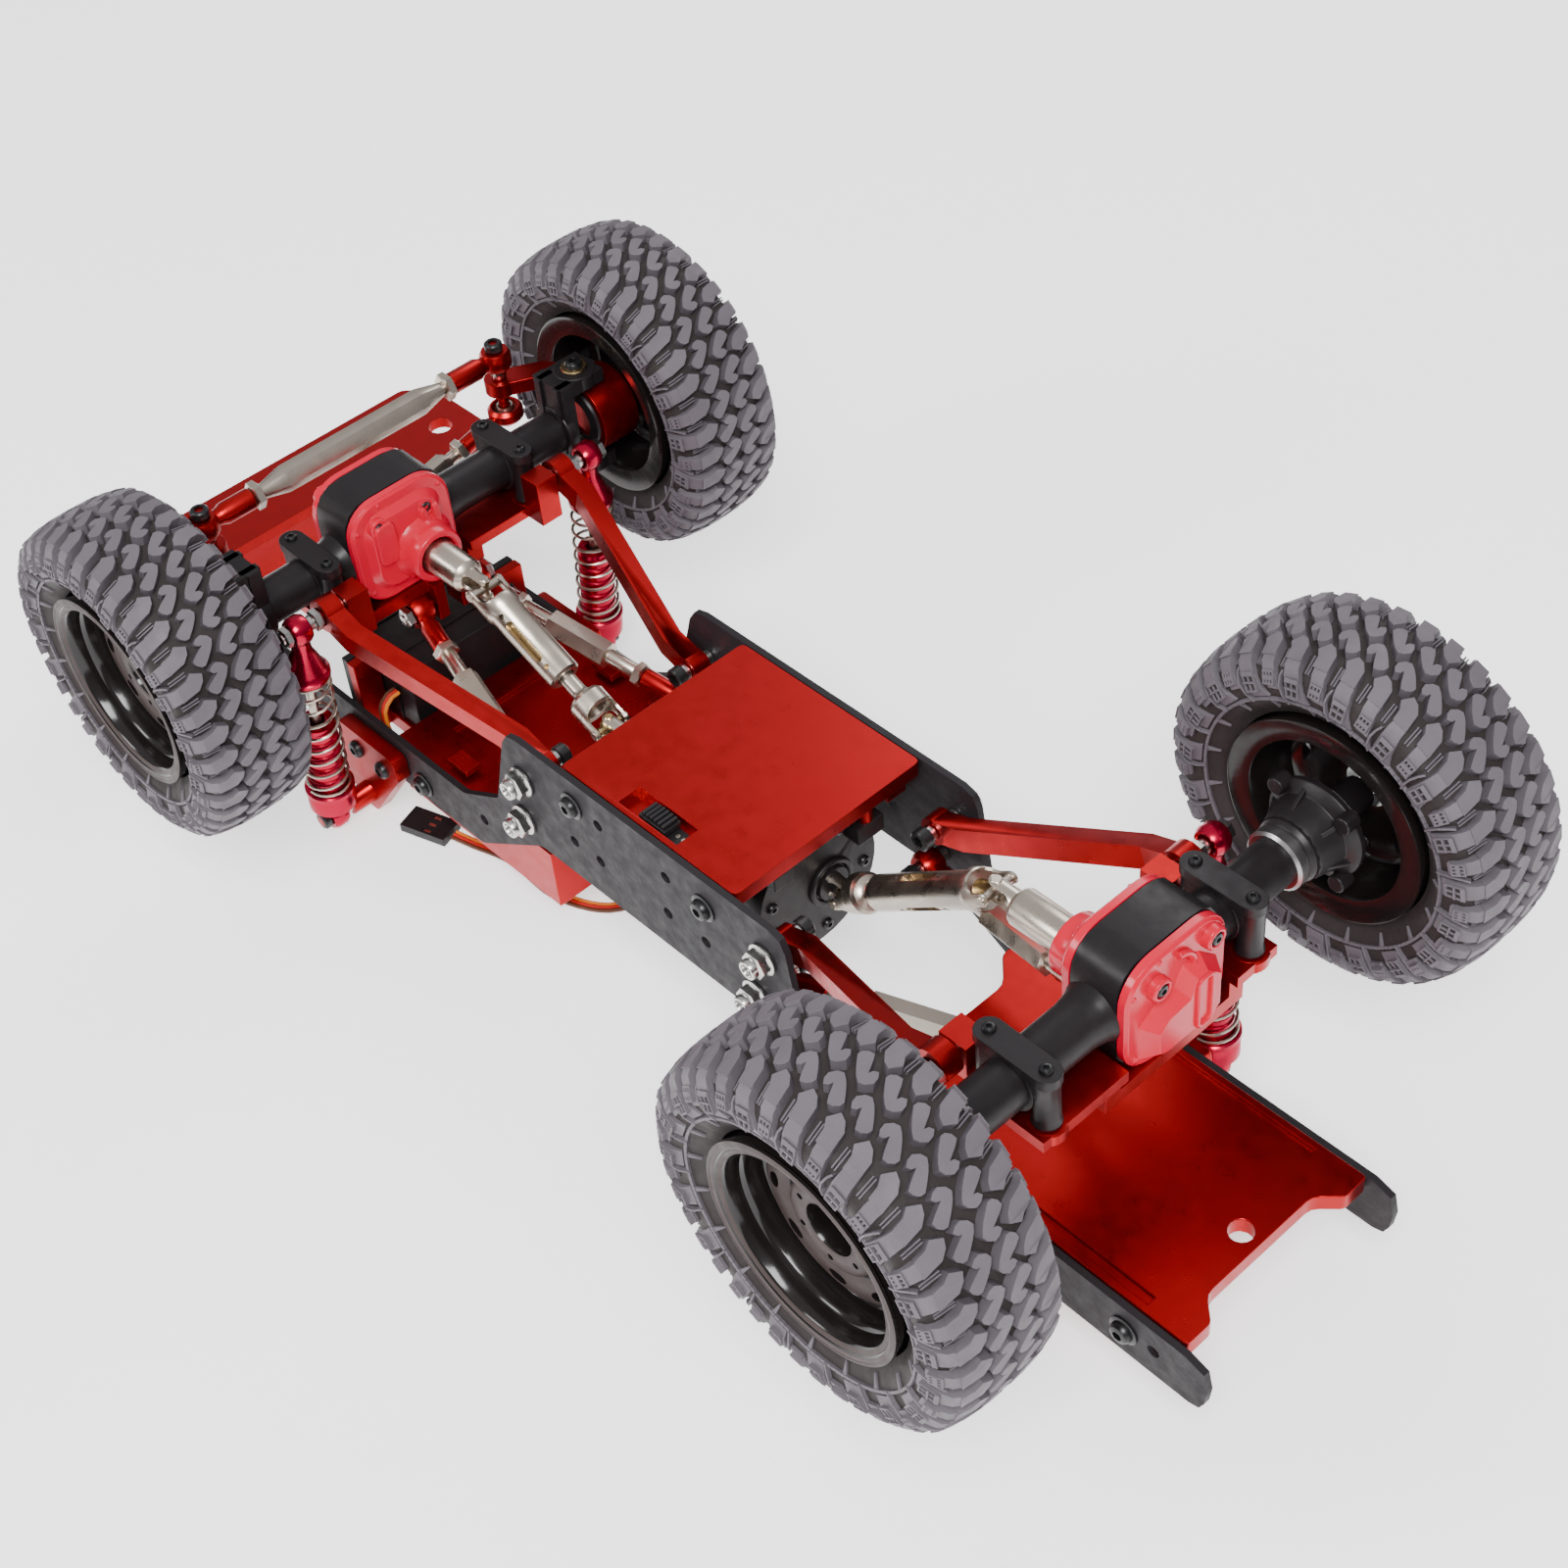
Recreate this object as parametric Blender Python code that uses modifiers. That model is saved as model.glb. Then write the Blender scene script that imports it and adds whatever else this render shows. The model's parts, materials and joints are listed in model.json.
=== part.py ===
"""Four-wheel crawler robot chassis, lying on its back as on a workbench.

+X points to the front axle, +Y to the vehicle's right side, +Z out of its belly (the skid plate), and Z = 0
is the bench that the four shock towers stand on. Sizes are in metres. MM turns millimetres into metres.
"""

import math

import bmesh
import bpy
from mathutils import Matrix, Vector

MM = 0.001
GAP = 0.3 * MM  # air left between touching pieces

# Driving dimensions
BELLY_Z = 67 * MM  # outer face of the skid plate above the bench
RAIL_OUTER_Y = 30.4 * MM
RAIL_THICK = 1.7 * MM
INNER_Y = RAIL_OUTER_Y - RAIL_THICK - GAP  # half width of everything bolted between the rails
RAIL_TOP = -37 * MM  # edge of the rails' front and rear arms, below the belly face
RAIL_BOTTOM = -52 * MM
TRAY_FACE = -36.3 * MM  # rear tray's outer face, below the belly face

FRONT_AXLE_X = 92.5 * MM
REAR_AXLE_X = -146 * MM
FRONT_AXLE_Z = BELLY_Z + 7 * MM
REAR_AXLE_Z = BELLY_Z + 14 * MM
TUBE_RADIUS = 5 * MM
CLAMP_Y = 30.3 * MM
WHEEL_Y = 75 * MM
TYRE_RADIUS = 42.5 * MM
TYRE_HALF_WIDTH = 15.2 * MM
BEAD_RADIUS = 25.2 * MM
KINGPIN_Y = 56 * MM

LOWER_BOLT_FRAME = {"front": (14.5 * MM, -13 * MM), "rear": (-70 * MM, -11 * MM)}  # x, z from the belly
LOWER_BOLT_AXLE = {"front": (78 * MM, 7 * MM), "rear": (-130.5 * MM, 10.5 * MM)}
UPPER_BOLT_FRAME = {"front": (17 * MM, -27.5 * MM), "rear": (-66 * MM, -26 * MM)}
UPPER_BOLT_AXLE = {"front": (84 * MM, -14 * MM), "rear": (-137.5 * MM, -10 * MM)}
SHOCK_FRAME = {"front": (86 * MM, -61 * MM), "rear": (-134 * MM, -61 * MM)}
LOWER_FRAME_Y = 24 * MM
LOWER_AXLE_Y = 36.5 * MM
UPPER_FRAME_Y = 23.5 * MM
UPPER_AXLE_Y = 9 * MM
SHOCK_Y = 45.8 * MM

TIE_ROD_Z = FRONT_AXLE_Z + 14 * MM
ARM_STUD_X = FRONT_AXLE_X + 20.5 * MM  # studs on the knuckle arms
ARM_STUD_Y = KINGPIN_Y - 10 * MM
DRAG_LINK_Z = FRONT_AXLE_Z - 3 * MM
SERVO_SHAFT_Y = 12 * MM
SERVO_SHAFT_Z = BELLY_Z - 34 * MM
HORN_REACH = 24 * MM

SHAFT_Y = {"front": 4.5 * MM, "rear": -3.5 * MM}
SHAFT_GEARBOX = {"front": (13 * MM, -12.5 * MM), "rear": (-60 * MM, -24.5 * MM)}  # at the gearbox
SHAFT_AXLE = {"front": (57 * MM, 6 * MM), "rear": (-108 * MM, 12 * MM)}  # U-joint centre at the axle
SLEEVE_LENGTH = {"front": 31 * MM, "rear": 46 * MM}

BOLT_RADIUS = 1.5 * MM
BALL_RADIUS = 2.8 * MM  # the drag link swings on a ball
PIVOT_BORE = BOLT_RADIUS + 0.2 * MM  # an eye that only turns on its bolt
LOOSE_BORE = BOLT_RADIUS + 1.1 * MM  # an eye whose far end is guided by another link
AXIS = {"X": Vector((1, 0, 0)), "Y": Vector((0, 1, 0)), "Z": Vector((0, 0, 1))}
SIDES = {"right": 1, "left": -1}
ENDS = {"front": 1, "rear": -1}
AXLES = {
    "front": {"x": FRONT_AXLE_X, "z": FRONT_AXLE_Z, "case_y": 8 * MM, "case_dz": 2.5 * MM},
    "rear": {"x": REAR_AXLE_X, "z": REAR_AXLE_Z, "case_y": -6 * MM, "case_dz": 0.0},
}

for leftover in list(bpy.data.objects):
    bpy.data.objects.remove(leftover)

parts = bpy.data.collections.new("crawler_chassis")
helpers = bpy.data.collections.new("helpers")
bpy.context.scene.collection.children.link(parts)
bpy.context.scene.collection.children.link(helpers)
helpers.hide_render = True


# ---------------------------------------------------------------- materials
def principled(name, colour, metallic, roughness):
    material = bpy.data.materials.new(name)
    material.use_nodes = True
    shader = material.node_tree.nodes["Principled BSDF"]
    shader.inputs["Base Color"].default_value = (*colour, 1)
    shader.inputs["Metallic"].default_value = metallic
    shader.inputs["Roughness"].default_value = roughness
    return material


RED = principled("red_anodised", (0.55, 0.012, 0.016), 0.85, 0.3)
PINK = principled("diff_cover_paint", (0.85, 0.03, 0.08), 0.3, 0.3)
MAGENTA = principled("shock_anodised", (0.45, 0.01, 0.05), 0.85, 0.25)
RAIL_BLACK = principled("powder_coat", (0.045, 0.04, 0.045), 0.2, 0.65)
BLACK = principled("black_paint", (0.015, 0.015, 0.016), 0.1, 0.4)
GLOSS_BLACK = principled("gloss_black", (0.02, 0.018, 0.018), 0.2, 0.2)
NICKEL = principled("nickel", (0.72, 0.68, 0.62), 1.0, 0.22)
RUBBER = principled("tyre_rubber", (0.06, 0.055, 0.06), 0.0, 0.85)
LEAD = principled("lead_insulation", (0.5, 0.15, 0.02), 0.0, 0.5)


# ---------------------------------------------------------------- modelling helpers
def finish(obj, name, material):
    """Makes obj a part: its name, its material and smooth shading up to 35 degrees."""
    obj.name = name
    obj.data.name = name
    obj.data.materials.clear()
    obj.data.materials.append(material)
    if obj.type == "MESH":
        obj.data.shade_smooth()
        obj.data.set_sharp_from_angle(angle=math.radians(35))
    return obj


def linked(name, mesh, matrix=None):
    obj = bpy.data.objects.new(name, mesh)
    if matrix is not None:
        obj.matrix_world = matrix
    parts.objects.link(obj)
    return obj


def as_helper(obj):
    """Moves an object out of the parts: it only cuts or joins another."""
    parts.objects.unlink(obj)
    helpers.objects.link(obj)
    obj.hide_render = True
    obj.display_type = "WIRE"
    return obj


def boolean(base, others, operation):
    for other in others:
        modifier = base.modifiers.new(operation.lower(), "BOOLEAN")
        modifier.operation = operation
        modifier.solver = "EXACT"
        modifier.object = as_helper(other)
    return base


def join(base, *others):
    return boolean(base, others, "UNION")


def cut(base, *others):
    return boolean(base, others, "DIFFERENCE")


def axes_at(origin, x_axis, y_axis):
    """A placement at origin whose local X and Y point along the given directions."""
    x_dir = Vector(x_axis).normalized()
    z_dir = x_dir.cross(Vector(y_axis)).normalized()
    y_dir = z_dir.cross(x_dir)
    turn = Matrix((x_dir, y_dir, z_dir)).transposed().to_4x4()
    return Matrix.Translation(origin) @ turn


def box(low, high):
    """A box between two corners."""
    low, high = Vector(low), Vector(high)
    mesh = bpy.data.meshes.new("box")
    shape = bmesh.new()
    size = Matrix.Diagonal((*(high - low), 1))
    bmesh.ops.create_cube(shape, size=1, matrix=Matrix.Translation((low + high) / 2) @ size)
    shape.to_mesh(mesh)
    shape.free()
    return linked("box", mesh)


def cylinder(start, end, radius, segments=16, end_radius=None):
    """A cylinder, or a cone, from one point to another."""
    start, end = Vector(start), Vector(end)
    mesh = bpy.data.meshes.new("cylinder")
    shape = bmesh.new()
    turn = (end - start).to_track_quat("Z", "Y").to_matrix().to_4x4()
    bmesh.ops.create_cone(
        shape, cap_ends=True, segments=segments, depth=(end - start).length,
        radius1=radius, radius2=radius if end_radius is None else end_radius,
        matrix=Matrix.Translation((start + end) / 2) @ turn,
    )
    shape.to_mesh(mesh)
    shape.free()
    return linked("cylinder", mesh)


def along_y(x, y_from, y_to, z, radius, segments=16):
    return cylinder((x, y_from, z), (x, y_to, z), radius, segments)


def circle(x, y, radius, segments=12):
    turns = [2 * math.pi * step / segments for step in range(segments)]
    return [(x + radius * math.cos(a), y + radius * math.sin(a)) for a in turns]


def rounded(corners, radius, steps=2):
    """The outline with each corner replaced by an arc. A corner may carry its own radius as a third value."""
    outline = []
    for index, corner in enumerate(corners):
        here = Vector(corner[:2])
        before = Vector(corners[index - 1][:2]) - here
        after = Vector(corners[(index + 1) % len(corners)][:2]) - here
        bend = before.angle(after)
        reach = (corner[2] if len(corner) > 2 else radius) / math.tan(bend / 2)
        reach = min(reach, 0.45 * before.length, 0.45 * after.length)
        start = here + before.normalized() * reach
        end = here + after.normalized() * reach
        for step in range(steps + 1):
            share = step / steps
            point = start * (1 - share) ** 2 + here * 2 * share * (1 - share) + end * share ** 2
            outline.append(tuple(point))
    return outline


def plate(outline, thickness, placement, holes=()):
    """A flat piece from closed 2D outlines, half its thickness on each side of the placement's XY plane."""
    curve = bpy.data.curves.new("outline", "CURVE")
    curve.dimensions = "2D"
    curve.fill_mode = "BOTH"
    curve.extrude = thickness / 2
    for ring in (outline, *holes):
        spline = curve.splines.new("POLY")
        spline.points.add(len(ring) - 1)
        for point, (x, y) in zip(spline.points, ring):
            point.co = (x, y, 0, 1)
        spline.use_cyclic_u = True
    drawn = linked("outline", curve)
    bpy.context.view_layer.update()
    evaluated = drawn.evaluated_get(bpy.context.evaluated_depsgraph_get())
    mesh = bpy.data.meshes.new_from_object(evaluated)
    bpy.data.objects.remove(drawn)
    shape = bmesh.new()
    shape.from_mesh(mesh)
    bmesh.ops.remove_doubles(shape, verts=shape.verts, dist=1e-6)
    bmesh.ops.recalc_face_normals(shape, faces=shape.faces)
    shape.to_mesh(mesh)
    shape.free()
    return linked("plate", mesh, placement)


def side_plate(outline, y_from, y_to, holes=()):
    """A plate whose outline is drawn in X and Z (from the belly face), between two Y planes."""
    low, high = sorted((y_from, y_to))
    flipped = [[(x, -z) for x, z in ring] for ring in (outline, *holes)]
    placement = axes_at((0, (low + high) / 2, BELLY_Z), (1, 0, 0), (0, 0, -1))
    return plate(flipped[0], high - low, placement, flipped[1:])


def level_plate(outline, z_from, z_to, holes=()):
    """A plate whose outline is drawn in X and Y, between two heights."""
    placement = Matrix.Translation((0, 0, (z_from + z_to) / 2))
    return plate(outline, abs(z_to - z_from), placement, holes)


def turned(profile, start, direction, segments=20, closed=False):
    """A turned piece: profile holds (radius, height) points, down the outer side, about the given axis."""
    mesh = bpy.data.meshes.new("profile")
    edges = [(index, index + 1) for index in range(len(profile) - 1)]
    if closed:
        edges.append((len(profile) - 1, 0))
    mesh.from_pydata([(radius, 0, height) for radius, height in profile], edges, [])
    turn = Vector(direction).to_track_quat("Z", "Y").to_matrix().to_4x4()
    obj = linked("turned", mesh, Matrix.Translation(start) @ turn)
    screw = obj.modifiers.new("turn", "SCREW")
    screw.steps = segments
    screw.render_steps = segments
    screw.use_merge_vertices = True
    screw.merge_threshold = 1e-6
    return obj


def strip(points, width):
    """The outline of a band of even width along a bent line."""
    left, right = [], []
    for index, point in enumerate(points):
        here = Vector(point)
        into = (here - Vector(points[index - 1])).normalized() if index else None
        out = (Vector(points[index + 1]) - here).normalized() if index < len(points) - 1 else None
        along = ((into or out) + (out or into)).normalized()
        across = Vector((-along.y, along.x)) * width / 2
        left.append(tuple(here + across))
        right.append(tuple(here - across))
    return left + right[::-1]


def from_belly(point):
    x, z = point
    return x, z + BELLY_Z


# ---------------------------------------------------------------- frame
def rail_outline():
    """One rail in X and Z from the belly face: a deep centre section between a front and a rear arm."""
    return rounded(
        [
            (196 * MM, RAIL_TOP, 5 * MM), (44 * MM, RAIL_TOP, 6 * MM), (28 * MM, -28 * MM, 3 * MM),
            (19 * MM, 0, 6 * MM), (-77 * MM, 0, 5 * MM), (-80 * MM, -24 * MM, 6 * MM),
            (-93 * MM, RAIL_TOP, 6 * MM), (-197 * MM, RAIL_TOP, 6 * MM), (-195 * MM, RAIL_BOTTOM, 4 * MM),
            (-95 * MM, RAIL_BOTTOM, 6 * MM), (-62 * MM, -33.5 * MM, 6 * MM), (12 * MM, -33.5 * MM, 6 * MM),
            (40 * MM, RAIL_BOTTOM, 6 * MM), (196 * MM, RAIL_BOTTOM, 5 * MM),
        ],
        5 * MM,
    )


def rail_holes():
    lightening = [(-14, -8.6), (-3, -21.4), (-12.5, -21.5), (-37.7, -8.8), (-36.5, -21.4), (-49.5, -21.4)]
    lightening += [(36.9, -41.6), (-182, -44), (120, -44), (150, -44)]
    return [circle(x * MM, z * MM, 1.6 * MM, 10) for x, z in lightening]


def make_rails():
    for side, sign in SIDES.items():
        inner = sign * (RAIL_OUTER_Y - RAIL_THICK)
        rail = side_plate(rail_outline(), inner, sign * RAIL_OUTER_Y, rail_holes())
        finish(rail, "rail_" + side, RAIL_BLACK)


def make_skid_plate():
    """The belly plate between the rails, with a screw block at each corner and the switch pocket."""
    corners = [(0, INNER_Y), (0, -INNER_Y), (-60 * MM, -INNER_Y), (-60 * MM, INNER_Y)]
    skid = level_plate(rounded(corners, 1.5 * MM), BELLY_Z - 4 * MM, BELLY_Z)
    blocks = []
    for x in (-5 * MM, -50.5 * MM):
        for sign in SIDES.values():
            low_y, high_y = sorted((sign * 22.5 * MM, sign * INNER_Y))
            blocks.append(box((x - 4 * MM, low_y, BELLY_Z - 13 * MM), (x + 4 * MM, high_y, BELLY_Z - 3 * MM)))
    pocket = box((-39 * MM, 20.5 * MM, BELLY_Z - 2.4 * MM), (-19 * MM, 26.9 * MM, BELLY_Z + 1 * MM))
    finish(cut(join(skid, *blocks), pocket), "skid_plate", RED)


def make_switch_slider():
    """The ribbed slider of the power switch. Its pocket is 20 mm long."""
    finish(box((-34 * MM, 21.2 * MM, BELLY_Z - 2.1 * MM), (-25 * MM, 26.2 * MM, BELLY_Z + 1.2 * MM)),
           "switch_slider", BLACK)


def make_front_tray():
    """The battery tray: a floor at the rails' edge, walls away from the belly, and arms for the servo."""
    tray_z = BELLY_Z + RAIL_TOP - 1.5 * MM
    body = box((12.5 * MM, -INNER_Y, BELLY_Z - 57 * MM), (75 * MM, INNER_Y, tray_z))
    wall_y = INNER_Y - 2.5 * MM
    hollow = box((15 * MM, -wall_y, BELLY_Z - 60 * MM), (72.5 * MM, wall_y, tray_z - 3 * MM))
    arm_low = SERVO_SHAFT_Z - 15 * MM
    mounts = []
    for sign in SIDES.values():
        arm_y = sorted((sign * 9 * MM, sign * 21 * MM))
        post_y = sorted((sign * 20.4 * MM, sign * 27.8 * MM))
        mounts.append(box((74 * MM, arm_y[0], arm_low), (93.7 * MM, arm_y[1], arm_low + 4.6 * MM)))
        mounts.append(box((90.7 * MM, post_y[0], arm_low), (93.7 * MM, post_y[1], arm_low + 24 * MM)))
    recess = box((22 * MM, -17 * MM, tray_z - 1.2 * MM), (66 * MM, 17 * MM, tray_z + 1 * MM))
    finish(cut(join(body, *mounts), hollow, recess), "front_tray", RED)


def make_front_beam():
    """The wide bumper beam across the front of the rails, with a block between them."""
    top = BELLY_Z + RAIL_TOP + 3.6 * MM
    half = [(190, 60), (182, 67), (150, 67), (146, 60), (152, 42), (165, 34)]
    corners = [(x * MM, y * MM) for x, y in half] + [(x * MM, -y * MM) for x, y in half[::-1]]
    holes = [circle(167 * MM, sign * 57 * MM, 3.6 * MM, 14) for sign in SIDES.values()]
    beam = level_plate(rounded(corners, 3 * MM, 2), top - 3.2 * MM, top, holes)
    block = box((167 * MM, -INNER_Y, BELLY_Z - 50 * MM), (188 * MM, INNER_Y, top - 1 * MM))
    hollow = box((170 * MM, -INNER_Y + 4 * MM, BELLY_Z - 55 * MM), (185 * MM, INNER_Y - 4 * MM, top - 4 * MM))
    finish(cut(join(beam, block), hollow), "front_beam", RED)


def make_rear_tray():
    """The rear deck: a waisted front edge, a notched rear edge, two long grooves and one hole."""
    half = [(-184, 16.5, 4), (-189, 21.2, 2), (-189, 28.4, 1), (-91, 28.4, 1), (-91, 21.5, 3), (-97.5, 15, 5)]
    corners = [(x * MM, y * MM, radius * MM) for x, y, radius in half]
    corners += [(x, -y, radius) for x, y, radius in corners[::-1]]
    top = BELLY_Z + TRAY_FACE
    tray = level_plate(rounded(corners, 2 * MM), top - 4.5 * MM, top, [circle(-179 * MM, 0, 2.9 * MM, 14)])
    for sign in SIDES.values():
        middle = sign * 25.4 * MM
        groove_y = (middle - 1.2 * MM, middle + 1.2 * MM)
        cut(tray, box((-177 * MM, groove_y[0], top - 1.2 * MM), (-105 * MM, groove_y[1], top + 1 * MM)))
    finish(tray, "rear_tray", RED)


def make_shock_towers():
    """Four plates bolted outside the rails: each carries a shock's bolt and stands on the bench."""
    top = RAIL_TOP - 3 * MM
    for end, facing in ENDS.items():
        bolt_x, bolt_z = SHOCK_FRAME[end]
        outline = [
            (8, top), (-17, top), (-17, top - 7 * MM),
            (-2, -BELLY_Z), (6, -BELLY_Z), (9, -BELLY_Z + 12 * MM),
        ]
        corners = [(bolt_x + facing * reach * MM, z) for reach, z in outline]
        for side, sign in SIDES.items():
            inner = sign * (RAIL_OUTER_Y + GAP)
            tower = side_plate(rounded(corners, 2 * MM), inner, inner + sign * 4 * MM)
            z = BELLY_Z + bolt_z
            boss = along_y(bolt_x, sign * 32 * MM, sign * 41.5 * MM, z, 3.2 * MM, 12)
            pin = along_y(bolt_x, sign * 40 * MM, sign * 50.5 * MM, z, BOLT_RADIUS, 10)
            finish(join(tower, boss, pin), "shock_tower_%s_%s" % (end, side), RED)


def make_gearbox():
    """The transfer gearbox under the skid plate, with a round rear flange and two output bosses."""
    centre_z = BELLY_Z - 23 * MM
    case = box((-44 * MM, -17 * MM, BELLY_Z - 38 * MM), (-4 * MM, 17 * MM, BELLY_Z - 5 * MM))
    flange = cylinder((-42 * MM, 0, centre_z), (-54 * MM, 0, centre_z), 18 * MM, 32)
    front_x, front_z = from_belly(SHAFT_GEARBOX["front"])
    rear_x, rear_z = from_belly(SHAFT_GEARBOX["rear"])
    front_y, rear_y = SHAFT_Y["front"], SHAFT_Y["rear"]
    front_boss = cylinder((-6 * MM, front_y, front_z), (front_x - 10 * MM, front_y, front_z), 4.5 * MM, 16)
    rear_boss = cylinder((-52 * MM, rear_y, rear_z), (rear_x + 4.5 * MM, rear_y, rear_z), 4.5 * MM, 16)
    finish(join(case, flange, front_boss, rear_boss), "gearbox_case", BLACK)
    motor = cylinder((-6 * MM, 0, BELLY_Z - 50.8 * MM), (-41 * MM, 0, BELLY_Z - 50.8 * MM), 12.2 * MM, 20)
    finish(motor, "drive_motor", NICKEL)


def make_servo():
    """A standard steering servo across the tray, shaft to the front, and its horn with a ball stud."""
    low, high = SERVO_SHAFT_Z - 10 * MM, SERVO_SHAFT_Z + 10 * MM
    body = box((77 * MM, -20 * MM, low), (104 * MM, 20 * MM, high))
    ears = box((94 * MM, -27.5 * MM, low + 1 * MM), (96.5 * MM, 27.5 * MM, high - 1 * MM))
    shaft = (SERVO_SHAFT_Y, SERVO_SHAFT_Z)
    output = cylinder((103 * MM, *shaft), (106.1 * MM, *shaft), 5 * MM, 16)
    finish(join(body, ears, output), "steering_servo", BLACK)
    back, front = 106.5 * MM, 108.5 * MM
    tip_z = SERVO_SHAFT_Z + HORN_REACH
    hub = cylinder((back, *shaft), (front, *shaft), 4.2 * MM, 16)
    arm = box((back, SERVO_SHAFT_Y - 3 * MM, SERVO_SHAFT_Z), (front, SERVO_SHAFT_Y + 3 * MM, tip_z + 3 * MM))
    eye_at = (SERVO_SHAFT_Y, tip_z)
    stud = cylinder((front - 1 * MM, *eye_at), (117.5 * MM, *eye_at), BOLT_RADIUS, 10)
    finish(join(hub, arm, stud), "servo_horn", RED)


# ---------------------------------------------------------------- axles
def case_outline(shrink):
    """A differential case seen along X: a rounded square in Y and Z round its own centre."""
    half = 15 * MM - shrink
    return rounded([(half, -half), (half, half), (-half, half), (-half, -half)], 9 * MM - shrink, 4)


def case_plate(axle, x_from, x_to, shrink):
    """A slab of the differential case between two X planes."""
    centre = ((x_from + x_to) / 2, axle["case_y"], axle["z"] + axle["case_dz"])
    return plate(case_outline(shrink), abs(x_to - x_from), axes_at(centre, (0, 1, 0), (0, 0, 1)))


def make_axle_housings():
    """Steel tube axles with a ring case, four clamp posts, and C-hubs in front or wheel bearings behind."""
    for end, axle in AXLES.items():
        x, z, case_y = axle["x"], axle["z"], axle["case_y"]
        tube_end = 50.5 * MM if end == "front" else 56 * MM
        pieces = [case_plate(axle, x - 6 * MM, x + 6 * MM, 0)]
        pieces.append(along_y(x, case_y - 20 * MM, case_y + 20 * MM, z, TUBE_RADIUS + 0.9 * MM, 16))
        for sign in SIDES.values():
            y = sign * CLAMP_Y
            top = z + 7.2 * MM
            pieces.append(box((x - 7.5 * MM, y - 3 * MM, z + 1 * MM), (x + 7.5 * MM, y + 3 * MM, top)))
            for post_x in (x - 7.5 * MM, x + 7.5 * MM):
                pieces.append(cylinder((post_x, y, z - 7.6 * MM), (post_x, y, top), 2.8 * MM, 8))
            if end == "front":
                pieces += c_hub(x, z, sign)
            else:
                pieces.append(along_y(x, sign * 51 * MM, sign * 59 * MM, z, 8 * MM, 20))
                pieces.append(along_y(x, sign * 58 * MM, sign * 74.5 * MM, z, 4 * MM, 12))
        tube = along_y(x, -tube_end, tube_end, z, TUBE_RADIUS, 16)
        finish(join(tube, *pieces), end + "_axle_housing", BLACK)


def c_hub(x, z, sign):
    """A C-shaped carrier at the end of the front tube: a back plate and two ears over the kingpin line."""
    back_y = sorted((sign * 47 * MM, sign * 50.5 * MM))
    ear_y = sorted((sign * 49 * MM, sign * (KINGPIN_Y + 5 * MM)))
    pieces = [box((x - 6 * MM, back_y[0], z - 15 * MM), (x + 6 * MM, back_y[1], z + 15 * MM))]
    for low in (-15 * MM, 11.2 * MM):
        pieces.append(box((x - 5.5 * MM, ear_y[0], z + low), (x + 5.5 * MM, ear_y[1], z + low + 3.8 * MM)))
    return pieces


def make_diff_covers():
    """A painted cover on each face of both cases; the one facing the gearbox carries the pinion nose."""
    for end, axle in AXLES.items():
        inward = -ENDS[end]
        for kind, facing in (("pinion", inward), ("back", -inward)):
            face = axle["x"] + facing * (6 * MM + GAP)
            flange = case_plate(axle, face, face + facing * 2.5 * MM, 0)
            pieces = [case_plate(axle, face + facing * 2 * MM, face + facing * 6 * MM, 3 * MM)]
            if kind == "pinion":
                nose = (SHAFT_Y[end], from_belly(SHAFT_AXLE[end])[1])
                nose_x = (face + facing * 3 * MM, face + facing * 11 * MM)
                pieces.append(cylinder((nose_x[0], *nose), (nose_x[1], *nose), 7 * MM, 20))
            finish(join(flange, *pieces), "%s_%s_cover" % (end, kind), PINK)


def make_trusses():
    """The red bridge clamped to each axle: a base under the tube, lower link blocks and upper link posts."""
    for end, axle in AXLES.items():
        x, z, case_y = axle["x"], axle["z"], axle["case_y"]
        facing = ENDS[end]
        lower_x, lower_z = from_belly(LOWER_BOLT_AXLE[end])
        upper_x, upper_z = from_belly(UPPER_BOLT_AXLE[end])
        base_top = z - 7.9 * MM
        case_low = z + axle["case_dz"] - 15 * MM
        base = box((x - 11 * MM, -35 * MM, base_top - 3 * MM), (x + 11 * MM, 35 * MM, base_top))
        sump_y = (case_y - 21 * MM, case_y + 21 * MM)
        sump = box((x - 9 * MM, sump_y[0], case_low - 4 * MM), (x + 9 * MM, sump_y[1], base_top - 1 * MM))
        pieces = [sump]
        for sign in SIDES.values():
            block_x = sorted((lower_x - facing * 3.5 * MM, x - facing * 5 * MM))
            block_y = sorted((sign * 26.5 * MM, sign * 33 * MM))
            block_z = (base_top - 2 * MM, lower_z + 3.2 * MM)
            pieces.append(box(*zip(block_x, block_y, block_z)))
            pieces.append(along_y(lower_x, sign * 28 * MM, sign * 50.5 * MM, lower_z, BOLT_RADIUS, 10))
            post_y = sorted((sign * 2.2 * MM, sign * 5.2 * MM))
            pieces.append(box((upper_x - 3.5 * MM, post_y[0], upper_z - 3.5 * MM),
                              (upper_x + 3.5 * MM, post_y[1], case_low - 1 * MM)))
            pieces.append(along_y(upper_x, sign * 3 * MM, sign * 13 * MM, upper_z, BOLT_RADIUS, 10))
        room_y = (case_y - 16.5 * MM, case_y + 16.5 * MM)
        case_room = box((x - 14 * MM, room_y[0], case_low - GAP), (x + 14 * MM, room_y[1], z))
        truss = cut(join(base, *pieces), case_room)
        for sign in SIDES.values():
            y = sign * CLAMP_Y
            cut(truss, box((x - 11.5 * MM, y - 4 * MM, base_top), (x + 11.5 * MM, y + 4 * MM, z + 9 * MM)),
                along_y(x, y - 7 * MM, y + 7 * MM, z, TUBE_RADIUS + 0.5 * MM, 20))
        finish(truss, end + "_truss", RED)


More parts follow.
